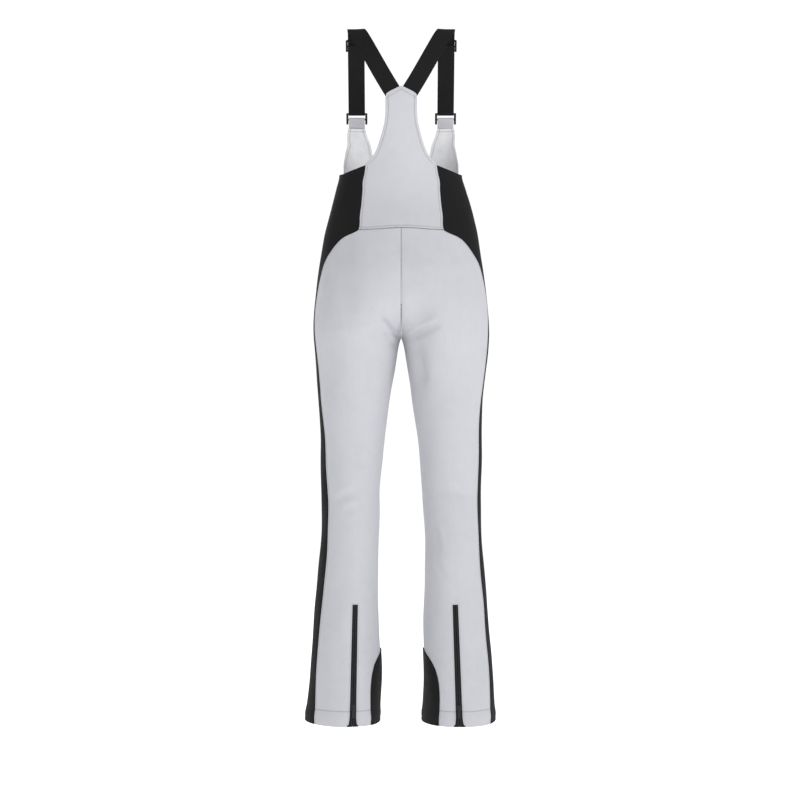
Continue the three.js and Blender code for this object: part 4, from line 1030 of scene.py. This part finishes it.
def slider_shape():
    outer_face = CHAIN_DEPTH - PLATE_DEPTH - PLATE / 2
    arch_top = outer_face - 2.6 - 0.7 - FIT - 1.2
    post = outer_face - arch_top + 0.4
    parts = [rounded_box((9.4, PLATE, 12), (0, CHAIN_DEPTH + k * PLATE_DEPTH, 0), 0.5, 3) for k in (-1, 1)]
    parts.append(rounded_box((6.6, 0.5, 8.4), (0, outer_face - 0.1, 0), 0.22))
    parts.append(rounded_box((CHAIN_GAP - 2 * FIT, 2 * PLATE_DEPTH, 6), (0, CHAIN_DEPTH, 0), 0.1))
    for k in (-1, 1):
        parts.append(rounded_box((0.9, 0.7, 9), (k * 4.1, CHAIN_DEPTH - PLATE_DEPTH + 0.7, 0), 0.2))
        parts.append(rounded_box((2, post, 1.2), (0, arch_top + post / 2, k * 3.2), 0.35))
    parts.append(rounded_box((2, 1.2, 7.6), (0, arch_top + 0.6, 0), 0.45, 3))
    return joined(*parts)


def pull_shape():
    parts = [rounded_box((5, 1.4, 1.4), (0, AXLE_DEPTH, 0), 0.45, 3)]
    for k in (-1, 1):
        parts.append(rounded_box((1.15, 1.4, 7), (k * 1.925, AXLE_DEPTH, -2.8), 0.35))
    parts.append(rounded_box((5, 1.4, 15), (0, AXLE_DEPTH, -12.8), 0.6, 3))
    for row in range(5):
        for k in (-1, 1):
            parts.append(rounded_box((3.4, 0.5, 0.9), (0, AXLE_DEPTH + k * 0.72, -9.5 - 2 * row), 0.2))
    return joined(*parts)


def slider_and_pull(name, foot, axes, at):
    origin = foot + axes[2] * at
    for part, shape in (("slider", slider_shape()), ("pull", pull_shape())):
        solid_piece(f"{part}_{name}", in_frame(shape, origin, axes), METAL, [f"{name}_{part}"],
                    f"{name}_{part}")


def tape_piece(name, outer, inner, uv, flipped, teeth, node):
    """A zip tape with its row of coil."""
    rows, cols = outer.shape[:2]
    verts = np.concatenate([outer.reshape(-1, 3), inner.reshape(-1, 3)])
    faces = [(f, 0) for f, _ in grid_faces(rows, cols, 0, flipped)]
    tooth_points, tooth_faces = teeth
    faces += [(tuple(k + len(verts) for k in f), 1) for f in tooth_faces]
    coordinates = np.concatenate([uv.reshape(-1, 2)] * 2 + [tooth_points[:, [0, 2]]])
    points = np.concatenate([verts, tooth_points])
    piece = make_object(name, points, faces, [TAPE_CLOTH, COIL], coordinates, 42)
    finish_piece(piece, [node])
    declare_cut(outer)


TAPE_STOPS = np.array([
    CHAIN_GAP / 2, 1.6, 3.0, 3.4, 4.2, 5.0, 6.2, 8.0, 10.0, 11.9, ZIP_SLOT / 2 + TAPE_COVER,
])
TAPE_RIB = np.array([0, 0, 0, 0.12, 0, 0.1, 0, 0, 0.1, 0, 0])


def tooth_levels(length, sign):
    start = 1.0 if sign > 0 else 1.0 + COIL_PITCH / 2
    return np.arange(start, length - 0.8, COIL_PITCH)


def hem_zip(side):
    top = HEM_ZIP - FIT
    levels = np.linspace(0, top, 60)
    for part, sign in (("outer", -1), ("inner", 1)):
        stops = TAPE_STOPS if sign > 0 else -TAPE_STOPS[::-1]
        rib = TAPE_RIB if sign > 0 else TAPE_RIB[::-1]
        s = quarter_at(levels)[:, None] + stops
        z = in_grid(levels, s)
        p, n = draped(z, s, side)
        outer = p - n * (CHAIN_DEPTH - TAPE / 2 + rib)[..., None]
        inner = p - n * (CHAIN_DEPTH + TAPE / 2)
        at = tooth_levels(top, sign)
        middle, normal = draped(at, quarter_at(at) + sign * (CHAIN_GAP + COIL_WIDTH) / 2, side)
        before, _ = draped(at, quarter_at(at) + sign * 0.2, side)
        teeth = beads(middle - normal * CHAIN_DEPTH, middle - before, normal, COIL_WIDTH, 1.25, COIL_HEIGHT)
        name = f"hem_zip_tape_{part}_{side}"
        tape_piece(f"zip_{name}", outer, inner, np.stack([s, z], -1), SIDES[side] < 0, teeth, name)
    line = ZIP_LINES[1 + 2 * list(SIDES).index(side)]
    _, outward = surface(HEM_ZIP / 2, quarter_at(HEM_ZIP / 2), TWIST[side])
    outward = outward * [SIDES[side], 1, 1]
    slider_and_pull(f"hem_zip_{side}", line[0], zip_axes(line[0], line[1], outward), 32)


def straight_tapes(names, foot, axes, length):
    levels = np.linspace(0, length, max(3, int(length / 4)))
    for name, sign in zip(names, (-1, 1)):
        stops = TAPE_STOPS if sign > 0 else -TAPE_STOPS[::-1]
        rib = TAPE_RIB if sign > 0 else TAPE_RIB[::-1]
        x, z = np.meshgrid(stops, levels)
        outer = np.stack([x, CHAIN_DEPTH - TAPE / 2 + rib + 0 * x, z], -1)
        inner = np.stack([x, CHAIN_DEPTH + TAPE / 2 + 0 * x, z], -1)
        at = tooth_levels(length, sign)
        middle = np.stack([sign * (CHAIN_GAP + COIL_WIDTH) / 2 + 0 * at, CHAIN_DEPTH + 0 * at, at], -1)
        teeth = beads(middle, np.array([[1.0, 0, 0]]) + 0 * middle, np.array([[0, -1.0, 0]]) + 0 * middle,
                      COIL_WIDTH, 1.25, COIL_HEIGHT)
        placed = [foot + part @ axes for part in (outer, inner, teeth[0])]
        uv = np.stack([x, z], -1)
        tape_piece(f"zip_{name}", placed[0], placed[1], uv, False, (placed[2], teeth[1]), name)


def front_zip():
    foot = np.array([0, -103.6, FLY_BOTTOM])
    length = NECK_BOTTOM - FLY_BOTTOM
    axes = zip_axes(foot, foot + [0, 0, length], np.array([0, -1.0, 0]))
    straight_tapes(["front_zip_tape_right", "front_zip_tape_left"], foot, axes, length)
    clear = COIL_HEIGHT / 2 + FIT
    stop = joined(
        rounded_box((CHAIN_GAP + 2 * COIL_WIDTH, 1, 3), (0, CHAIN_DEPTH - clear - 0.5, 1.5), 0.35),
        rounded_box((CHAIN_GAP - 2 * FIT, clear + 1, 3), (0, CHAIN_DEPTH - clear / 2, 1.5), 0.1),
    )
    solid_piece("stop_front_zip", in_frame(stop, foot, axes), METAL, ["front_zip_stop"])
    slider_and_pull("front_zip", foot, axes, length - 10)


def pocket_frame(side):
    middle = (POCKET_BOTTOM + POCKET_TOP) / 2
    _, outward = surface(middle, pocket_middle(middle), 0)
    levels = np.array([POCKET_BOTTOM + FIT, POCKET_TOP - FIT])
    ends = on_body(levels, pocket_middle(levels), 0) - outward * 1.1
    flip = np.array([SIDES[side], 1, 1])
    foot, head = ends * flip
    return foot, zip_axes(foot, head, outward * flip), float(np.linalg.norm(head - foot))


def pocket_bag(side):
    """Two layers of lining sewn round their edges, with the mouth behind the zip."""
    top, bottom = POCKET_TOP + 4, POCKET_BOTTOM - 60
    levels = insert(np.linspace(bottom, top, 44), [POCKET_BOTTOM, POCKET_TOP])
    offsets = np.concatenate([np.linspace(0, 9, 7), np.linspace(24, 92, 22)])
    back_edge = pocket_middle(np.maximum(levels, POCKET_BOTTOM)) + ZIP_SLOT / 2 + TAPE_COVER + 4
    s = back_edge[:, None] - offsets[::-1]
    z = in_grid(levels, s)
    u = offsets[::-1] / 46 - 1
    v = 2 * (levels - bottom) / (top - bottom) - 1
    along, across = np.sqrt(np.maximum(0, 1 - u ** 2)), np.sqrt(np.maximum(0, 1 - v ** 4))
    crown = along[None] ** 0.8 * across[:, None] ** 0.8
    crease = 0.35 * np.sin(z / 5.2 + s / 17) * crown
    face = 1.1 + CHAIN_DEPTH + TAPE / 2 + 0.6
    p, n = surface(z, s, 0)
    hole = np.zeros((len(levels) - 1, len(offsets) - 1), bool)
    mouth = len(offsets) - 1 - 7
    hole[:, mouth] = (levels[:-1] >= POCKET_BOTTOM - 0.1) & (levels[1:] <= POCKET_TOP + 0.1)
    flip = np.array([SIDES[side], 1, 1])
    walls = []
    for sign, cut in ((-1, hole), (1, None)):
        near = face + 7 + sign * (5.7 * crown - np.abs(crease))
        layers = sorted([near, near + sign * 1.0], key=lambda d: d.mean())
        walls.append(([(p - n * d[..., None]) * flip for d in layers], cut))
    verts, faces = [], []
    for (outer, inner), cut in walls:
        faces += grid_faces(*outer.shape[:2], sum(len(v) for v in verts), SIDES[side] < 0, hole=cut)
        verts += [outer.reshape(-1, 3), inner.reshape(-1, 3)]
    uv = np.concatenate([np.stack([s, z], -1).reshape(-1, 2)] * 4)
    piece = make_object(f"bag_pocket_{side}", np.concatenate(verts), [(f, 0) for f, _ in faces], [LINING], uv)
    finish_piece(piece, [f"pocket_bag_{side}"])


def gusset(side):
    levels = np.linspace(0.6, HEM_ZIP + 4, 60)
    u = np.linspace(-1, 1, 25)
    s = quarter_at(levels)[:, None] + 17 * u
    z = in_grid(levels, s)
    pleat = smoothstep(0, 0.3, 1 - np.abs(u)) * (1 + 0.06 * np.cos(u * 12))
    depth = 0.9 + 3.9 * pleat
    p, n = draped(z, s, side)
    outer, inner = (p - n * (CLOTH + depth + k)[..., None] for k in (0.0, 1.0))
    piece = shell(f"fold_hem_gusset_{side}", outer, inner, np.stack([s, z], -1), SIDES[side] < 0, [BLACK])
    finish_piece(piece, [f"hem_gusset_{side}"])
    declare_cut(outer)


def gaiter(side):
    """A sleeve of lining inside the hem, gathered by an elastic edge."""
    levels = insert(np.linspace(24, 266, 70), 24 + EDGE[:6], 42 + np.array([-1.5, 0, 1.5]))
    around = 180
    turn = np.arange(around) / around * 2
    inset_at = smooth_curve([[24, 16], [240, 9], [266, 2]])
    back, front = back_length(levels)[:, None], front_length(levels)[:, None]
    s = np.where(turn <= 1, turn * back, (turn - 2) * front)
    z = in_grid(levels, s)
    p, n = surface(z, s, TWIST[side])
    size = np.interp(levels, [24, 42, 60, 140, 240, 266], [0.5, 0.9, 2.6, 1.6, 0.4, 0])[:, None]
    gathers = 0.5 + 0.5 * np.sin(turn * math.pi * 30 + 0.8 * np.sin(levels / 23)[:, None])
    band = np.exp(-(((levels - 42) / 1.6) ** 2))[:, None] * 0.8
    depth = CLOTH + inset_at(levels)[:, None] + size * gathers + band
    flip = np.array([SIDES[side], 1, 1])
    outer, inner = ((p - n * (depth + k)[..., None]) * flip for k in (0.0, 1.1))
    name = f"sleeve_snow_gaiter_{side}"
    piece = shell(name, outer, inner, np.stack([s, z], -1), SIDES[side] < 0, [LINING], wrap=True)
    finish_piece(piece, [f"snow_gaiter_{side}"])
    declare_cut(outer, wrap=True)


# ---- Straps, rings and adjusters ----
def bib_front_point(z, x, lift=0.0):
    p, n = surface(z, -along_at_x("front", z, x), 0)
    return p + n * lift


BAR_REACH = math.hypot(3.2, 3.0) / 2
PLY = BAR_REACH + FIT + WEBBING / 2
bib_edge = bib_front_point(FRONT_TOP, STRAP_X)
run_top = np.array([STRAP_X, -32, REST - 9])
lean = math.atan2(run_top[1] - bib_edge[1], run_top[2] - bib_edge[2])
ring_foot = np.array([STRAP_X, bib_edge[1] + 11 * math.sin(lean), bib_edge[2] + 11 * math.cos(lean)])
run_line = unit(run_top - ring_foot)
run_out = np.array([0, -run_line[2], run_line[1]])
ring_head = ring_foot + run_line * 21.8
run_length = float(np.linalg.norm(run_top - ring_head))
ADJUSTER_REST = run_length - 17
LOOP_START = 7.0
SIDEWAYS = np.array([1.0, 0, 0])


def on_run(along, out=0.0):
    along = np.atleast_1d(along)
    return ring_head + along[:, None] * run_line + out * run_out


def turn_round(middle, radius, sign):
    a = np.linspace(0, math.pi, 15)[:, None]
    return middle + sign * radius * np.sin(a) * run_line + radius * np.cos(a) * run_out


def bezier(points, count):
    t = np.linspace(0, 1, count)[:, None]
    degree = len(points) - 1
    return sum(math.comb(degree, k) * t ** k * (1 - t) ** (degree - k) * p for k, p in enumerate(points))


def band(name, path, across, width, thick, side, materials, ribs=0.0, columns=49):
    """A flat band along a path; `across` is the direction of its width at every point of the path."""
    tangent = unit(np.gradient(path, axis=0))
    across = unit(across - (across * tangent).sum(-1, keepdims=True) * tangent)
    up = unit(np.cross(across, tangent))
    u = np.sin(np.linspace(-1, 1, columns) * math.pi / 2) * 0.35 + np.linspace(-1, 1, columns) * 0.65
    edge = np.sqrt(np.maximum(0, 1 - np.abs(u) ** 26)) * 0.75 + 0.25
    seam = np.exp(-(((np.abs(u) - 0.84) / 0.035) ** 2))
    half = thick / 2 * edge - ribs * (0.5 + 0.5 * np.cos(u * width * 2 * math.pi / 2.9)) - 1.6 * ribs * seam
    grid = path[:, None] + across[:, None] * (u * width / 2)[None, :, None]
    outer = grid + up[:, None] * half[None, :, None]
    inner = grid - up[:, None] * half[None, :, None]
    flip = np.array([SIDES[side], 1, 1])
    travelled = np.concatenate([[0], np.cumsum(np.linalg.norm(np.diff(path, axis=0), axis=-1))])
    uv = np.stack(np.meshgrid(u * width / 2, travelled), -1)
    piece = shell(name, outer * flip, inner * flip, uv, SIDES[side] < 0, materials)
    return piece, grid


def shoulder_strap(side):
    flat_z = REST + WEBBING / 2
    fold = np.concatenate([on_run(LOOP_START - np.arange(0, 6.9, 1.5), -PLY),
                           turn_round(ring_head, PLY, -1)[::-1]])
    run = on_run(np.arange(2.5, run_length - 1, 2.5), PLY)
    bend_start = on_run(run_length, PLY)[0]
    corner = on_run(run_length + (flat_z - bend_start[2]) / run_line[2], PLY)[0]
    bend = bezier([bend_start, corner, np.array([STRAP_X, -15, flat_z])], 14)
    level = np.array([[STRAP_X, y, flat_z] for y in np.arange(-12.5, 14, 2.5)])

    def inside_bib(z, x):
        p, n = surface(z, along_at_x("back", z, x), 0)
        return p - n * (CLOTH + FIT + 0.9 + WEBBING / 2)

    roof_length = math.hypot(31.5, BIB_PEAK - BIB_SHOULDER)
    roof_cos, roof_sin = 31.5 / roof_length, (BIB_PEAK - BIB_SHOULDER) / roof_length
    end_x = STRAP / 2 * roof_cos + 4 * roof_sin + 0.8216
    edge_z = BIB_PEAK - (BIB_PEAK - BIB_SHOULDER) * end_x / 31.5
    roof = unit(inside_bib(BIB_PEAK, 2.5) - inside_bib(BIB_SHOULDER, 31.5))
    _, facing = surface(edge_z, along_at_x("back", edge_z, end_x), 0)
    down = unit(np.cross(roof, facing))
    down = down if down[2] < 0 else -down
    edge = inside_bib(edge_z, end_x)
    start = np.array([STRAP_X, 15, flat_z])
    hump = bezier([start, start + [-3, 30, 0], edge - 66 * down + [0, -4, 0], edge], 76)
    end = edge + down * np.array([[2.0], [4.0]])
    path = np.concatenate([fold, run, bend, level, hump, end])
    still = len(fold) + len(run) + len(bend) + len(level)
    share = np.concatenate([np.zeros(still), np.linspace(0, 12 / 13, 76), [12.5 / 13, 1.0]])
    mix = np.minimum(1, share * 1.15)[:, None]
    across = SIDEWAYS * (1 - mix) - roof * mix
    piece, grid = band(f"webbing_shoulder_strap_{side}", path, across, STRAP, WEBBING, side, [ELASTIC],
                       ribs=0.07)
    finish_piece(piece, [f"shoulder_strap_{side}"])
    declare_cut(grid)


def strap_loop(side):
    first, last = LOOP_START + FIT, ADJUSTER_REST + 1.8
    path = on_run(np.linspace(first, last, 60), -PLY)
    across = SIDEWAYS + 0 * path
    piece, grid = band(f"webbing_strap_loop_{side}", path, across, STRAP, WEBBING, side, [ELASTIC], ribs=0.07)
    finish_piece(piece, [f"strap_loop_{side}"])
    declare_cut(grid)
    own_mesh(piece)


TAB_CLOTH = 1.6
TAB_RISE = 9.0


def buckles(side):
    origin = ring_head * [SIDES[side], 1, 1]
    axes = np.array([SIDEWAYS, -run_out, run_line])
    bars = [rounded_box((4.6, 3.6, 25), (k * 20.2, 0, -10.9), 1.3, 3) for k in (-1, 1)]
    bars += [rounded_box((40, 3.0, 3.2), (0, 0, z), 1.2, 3) for z in (0, TAB_RISE - 21.8)]
    ring = joined(*bars)
    solid_piece(f"buckle_strap_ring_{side}", in_frame(ring, origin, axes), NYLON, [f"strap_ring_{side}"])
    outer_y = -(PLY + WEBBING / 2 + FIT + 0.9)
    face, back = outer_y - 0.9, 1.5
    parts = [frame_ring(44, 26, 3.4, 4.1, 1.8, outer_y)]
    for k in (-1, 1):
        middle = (face + back) / 2 + 0.1
        parts.append(rounded_box((4.1, back - face - 0.2, 24), (k * 19.95, middle, 0), 1.1, 3))
    parts.append(rounded_box((42, 1.8, 3.6), (0, 0, 0), 0.7, 3))
    teeth = [rounded_box((1.4, 0.5, 2.2), (k * 6, 0.8, 0), 0.2) for k in (-2, -1, 1, 2)]
    parts += [*teeth[:2], rounded_box((34, 0.35, 0.5), (0, outer_y - 0.85, 11.2), 0.1), *teeth[2:]]
    shape = joined(*parts)
    shape = (shape[0] + [0, 0, ADJUSTER_REST], shape[1])
    solid_piece(f"buckle_strap_adjuster_{side}", in_frame(shape, origin, axes), NYLON,
                [f"strap_adjuster_{side}"], f"strap_adjuster_{side}")


def bib_tab(side):
    base, lift = FRONT_TOP - 12, 0.8 + TAB_CLOTH / 2
    low = np.array([bib_front_point(z, STRAP_X, lift) for z in np.linspace(base, FRONT_TOP - 1, 8)])
    fold = turn_round(ring_foot + run_line * TAB_RISE, BAR_REACH + FIT + TAB_CLOTH / 2, 1)
    inner = bib_front_point(FRONT_TOP, STRAP_X, -CLOTH / 2) + run_line * 1.2
    rise = low[-1:] * 0.5 + fold[:1] * 0.5
    fall = np.linspace(fold[-1], inner, 6)[1:]
    path = np.concatenate([low, rise, fold, fall])
    edge = unit(bib_front_point(base, STRAP_X + 10, lift) - bib_front_point(base, STRAP_X - 10, lift))
    mix = np.minimum(1, np.linspace(0, 1, len(path)) * 5)[:, None]
    across = edge * (1 - mix) + SIDEWAYS * mix
    piece, grid = band(f"cloth_bib_tab_{side}", path, across, 34, TAB_CLOTH, side, [LIGHT], columns=27)
    finish_piece(piece, [f"bib_tab_{side}"])
    declare_cut(grid)
    flip = np.array([SIDES[side], 1, 1])
    for z in (base + 2.5, FRONT_TOP - 2.2):
        thread_lift = 0.8 + TAB_CLOTH - 0.05
        points = np.array([bib_front_point(z, STRAP_X + x, thread_lift) for x in np.arange(-13, 13.1, 0.5)])
        STITCH_LINES.append((points * flip, np.array([[0, -1.0, 0.1]]) + 0 * points, "light"))


# ---- Stitching ----
STITCH_LINES = []
STITCH_PITCH = 3.1


def stitch(z, s, side, colour="light", lift=-0.2, flip=None):
    z, s = np.broadcast_arrays(np.asarray(z, float), np.asarray(s, float))
    p, n = draped(z, s, side, None if flip is None else flip + 0 * z)
    STITCH_LINES.append((p + n * lift, n, colour))


def sewn_rows(lines, pitch, length, width, height):
    """All the stitches along lines of points, as beads."""
    parts = []
    for points, normals, _ in lines:
        travelled = np.concatenate([[0], np.cumsum(np.linalg.norm(np.diff(points, axis=0), axis=-1))])
        at = np.arange(pitch / 2, travelled[-1], pitch)
        if not len(at):
            continue

        def take(values, where):
            return np.stack([np.interp(where, travelled, values[:, k]) for k in range(3)], -1)

        ahead = take(points, at + 0.4) - take(points, at - 0.4)
        parts.append(beads(take(points, at), ahead, take(normals, at), length, width, height))
    return joined(*parts)


def leg_stitches(side):
    up = np.arange(3, YOKE - 3, 3.0)
    rear = stripe_start(side)
    stitch(up, rear(up) + 4.6, side)
    stitch(up, front_start(up) - 4.6, side)
    zip_up = np.arange(6, HEM_ZIP + 1, 3.0)
    half = ZIP_SLOT / 2 + SEAM_GAP + 2.6
    for sign in (-1, 1):
        stitch(zip_up, quarter_at(zip_up) + sign * (half + hem_gape(zip_up)), side)
        stitch(np.arange(POCKET_BOTTOM, POCKET_TOP, 3.0),
               pocket_middle(np.arange(POCKET_BOTTOM, POCKET_TOP, 3.0)) + sign * half, side)
    across = np.linspace(-half, half, 9)
    stitch(HEM_ZIP + 2.6, quarter_at(HEM_ZIP) + across, side)
    for z in (POCKET_BOTTOM - 2.6, POCKET_TOP + 2.6):
        stitch(z, pocket_middle(z) + across, side)
    # Bar tack above the hem zip, in the pale thread that paints the highlight on it.
    for z in HEM_ZIP + np.arange(3.0, 8.1, 1.0):
        stitch(z, quarter_at(HEM_ZIP) + across * 0.62, side, "tack", lift=0.15)
    hem = HEM_STITCH
    slot = ZIP_SLOT / 2 + SEAM_GAP + 3.5
    guard = float(guard_half(hem)) + 1
    quarter = float(quarter_at(hem))
    stitch(hem, np.arange(float(rear(hem)) + 1, quarter - slot, 2), side)
    stitch(hem, np.arange(quarter + slot, float(back_length(hem)) - guard, 2), side)
    stitch(hem, np.arange(-float(front_length(hem)) + guard, float(front_start(hem)) - 1, 2), side)
    stitch(hem, np.arange(float(front_seam(hem)) + 2, float(rear(hem)) - 3, 2), side, "dark")
    share = np.linspace(0.02, 0.98, 60)
    z = GUARD_HEIGHT * np.sin(share * math.pi / 2) * 0.985
    half_guard = guard_half(z)
    inset = 4.6 * np.minimum(3, np.hypot(1, np.gradient(half_guard, z)))
    stitch(z, back_length(z) - np.maximum(half_guard - inset, 0), side, "dark", lift=2.05)
    stitch(z, -front_length(z) + np.maximum(half_guard - inset, 0), side, "dark", lift=2.05)
    cols = np.linspace(0.08, 0.92, 40)
    u = 2 * cols - 1
    top = side_top_edge(u) - 5.6
    start, end = front_seam(top), back_seam(top)
    stitch(top, start + (end - start) * cols, side, "dark")


def bib_stitches(side):
    seam_up = np.arange(YOKE + 3, BACK_CORNER - 4, 3.0)
    stitch(seam_up, back_start(seam_up) + 4.6, "left", flip=SIDES[side])
    arm = np.linspace(BACK_CORNER + 4, BIB_SHOULDER - 5, 90)
    edge = back_armhole(arm)
    stitch(arm, edge + 5.6 * np.hypot(1, np.gradient(edge, arm)), "left", flip=SIDES[side])
    x = np.linspace(3, 27, 40)
    slope = (BIB_PEAK - BIB_SHOULDER) / 31.5
    z = BIB_PEAK - slope * x - 5.6 * math.hypot(1, slope)
    s = np.array([along_at_x("back", h, v) for h, v in zip(z, x)])
    stitch(z, s, "left", flip=SIDES[side])
    low = YOKE + SEAM_GAP / 2 + 4.6
    stitch(low, np.arange(float(back_start(low)) + 2, float(back_length(low)), 2), "left", flip=SIDES[side])
    stitch(low, np.arange(-float(front_length(low)) + 10, float(front_start(low)) - 2, 2), side)
    seam_up = np.arange(YOKE + 3, NECK_BOTTOM, 3.0)
    stitch(seam_up, front_start(seam_up) - 4.6, side)
    arm = np.linspace(NECK_BOTTOM + 2, FRONT_TOP - 5, 50)
    edge = front_armhole(arm)
    stitch(arm, edge - 5.6 * np.hypot(1, np.gradient(edge, arm)), side)
    neck = np.linspace(NECK_BOTTOM + 9, FRONT_TOP - 5, 60)
    edge = neckline(neck)
    stitch(neck, edge + 5.6 * np.hypot(1, np.gradient(edge, neck)), side)


for side in SIDES:
    hem_zip(side)
    gusset(side)
    gaiter(side)
    pocket_bag(side)
    foot, axes, length = pocket_frame(side)
    order = ("front", "back") if side == "left" else ("back", "front")
    straight_tapes([f"pocket_zip_tape_{part}_{side}" for part in order], foot, axes, length)
    slider_and_pull(f"pocket_zip_{side}", foot, axes, length - 10)
    shoulder_strap(side)
    strap_loop(side)
    buckles(side)
    bib_tab(side)
    leg_stitches(side)
    bib_stitches(side)
front_zip()
tack_z = YOKE + SEAM_GAP / 2 + 1.6
tack_s = float(back_length(tack_z)) - np.linspace(7.5, 14.5, 14)
stitch(tack_z + np.zeros(14), tack_s, "left", "dark", lift=0.1)
THREADS = (
    ("light", THREAD_LIGHT, "light_softshell"),
    ("dark", THREAD_DARK, "black_softshell"),
    ("tack", THREAD_PALE, "light_softshell"),
)
for colour, thread, slot in THREADS:
    lines = [line for line in STITCH_LINES if line[2] == colour]
    pitch = 0.9 if colour == "tack" else STITCH_PITCH
    points, faces = sewn_rows(lines, pitch, 0.8 * pitch + 0.1, 0.62, 0.5)
    rows = make_object(f"stitching_{colour}", points, [(f, 0) for f in faces], [thread])
    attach(rows, "garment")

# ---- Camera, floor and light ----
camera = bpy.data.objects.new("camera", bpy.data.cameras.new("camera"))
camera.data.lens = 90
camera.data.sensor_width = 36
camera.location = (0.0025, 4.16, -0.767)
camera.rotation_euler = (math.pi / 2, 0, math.pi)
bpy.context.scene.collection.objects.link(camera)
bpy.context.scene.camera = camera
bpy.context.scene.view_settings.view_transform = "Standard"

world = bpy.data.worlds.new("studio")
bpy.context.scene.world = world
world.use_nodes = True
sky, sky_links = world.node_tree.nodes, world.node_tree.links
split = sky.new("ShaderNodeSeparateXYZ")
sky_links.new(sky.new("ShaderNodeTexCoord").outputs["Generated"], split.inputs[0])
tilt = math_node(sky, sky_links, "ABSOLUTE", split.outputs["Z"], 0)
sky_links.new(ramp(sky, sky_links, tilt, [(0.24, (1, 1, 1)), (0.42, (0.42, 0.42, 0.43))]),
              sky["Background"].inputs["Color"])
sky["Background"].inputs["Strength"].default_value = 1.04


def area_light(name, place, size, power):
    data = bpy.data.lights.new(name, "AREA")
    data.energy = power
    data.size = size
    lamp = bpy.data.objects.new(name, data)
    lamp.location = place
    aim = Vector((0, 0, -0.7)) - Vector(place)
    lamp.rotation_euler = aim.to_track_quat("-Z", "Y").to_euler()
    bpy.context.scene.collection.objects.link(lamp)


area_light("key", (-2.6, 2.6, 1.0), 1.6, 55)
area_light("fill", (2.8, 2.4, 0.4), 2.0, 10)
area_light("front", (1.2, -3.2, 0.8), 2.0, 35)

floor_material, _, _, floor_shader = new_material("floor")
floor_shader.inputs["Base Color"].default_value = (1, 1, 1, 1)
floor_shader.inputs["Roughness"].default_value = 0.9
floor_shader.inputs["Emission Color"].default_value = (1, 1, 1, 1)
floor_shader.inputs["Emission Strength"].default_value = 0.55
floor_mesh = bpy.data.meshes.new("floor")
reach, floor_z = 30.0, (0 - REST) * 0.001 - 0.113
floor_mesh.from_pydata([(-reach, -reach, floor_z), (reach, -reach, floor_z), (reach, reach, floor_z),
                        (-reach, reach, floor_z)], [], [(0, 1, 2, 3)])
floor_mesh.materials.append(floor_material)
floor = bpy.data.objects.new("floor", floor_mesh)
bpy.context.scene.collection.objects.link(floor)
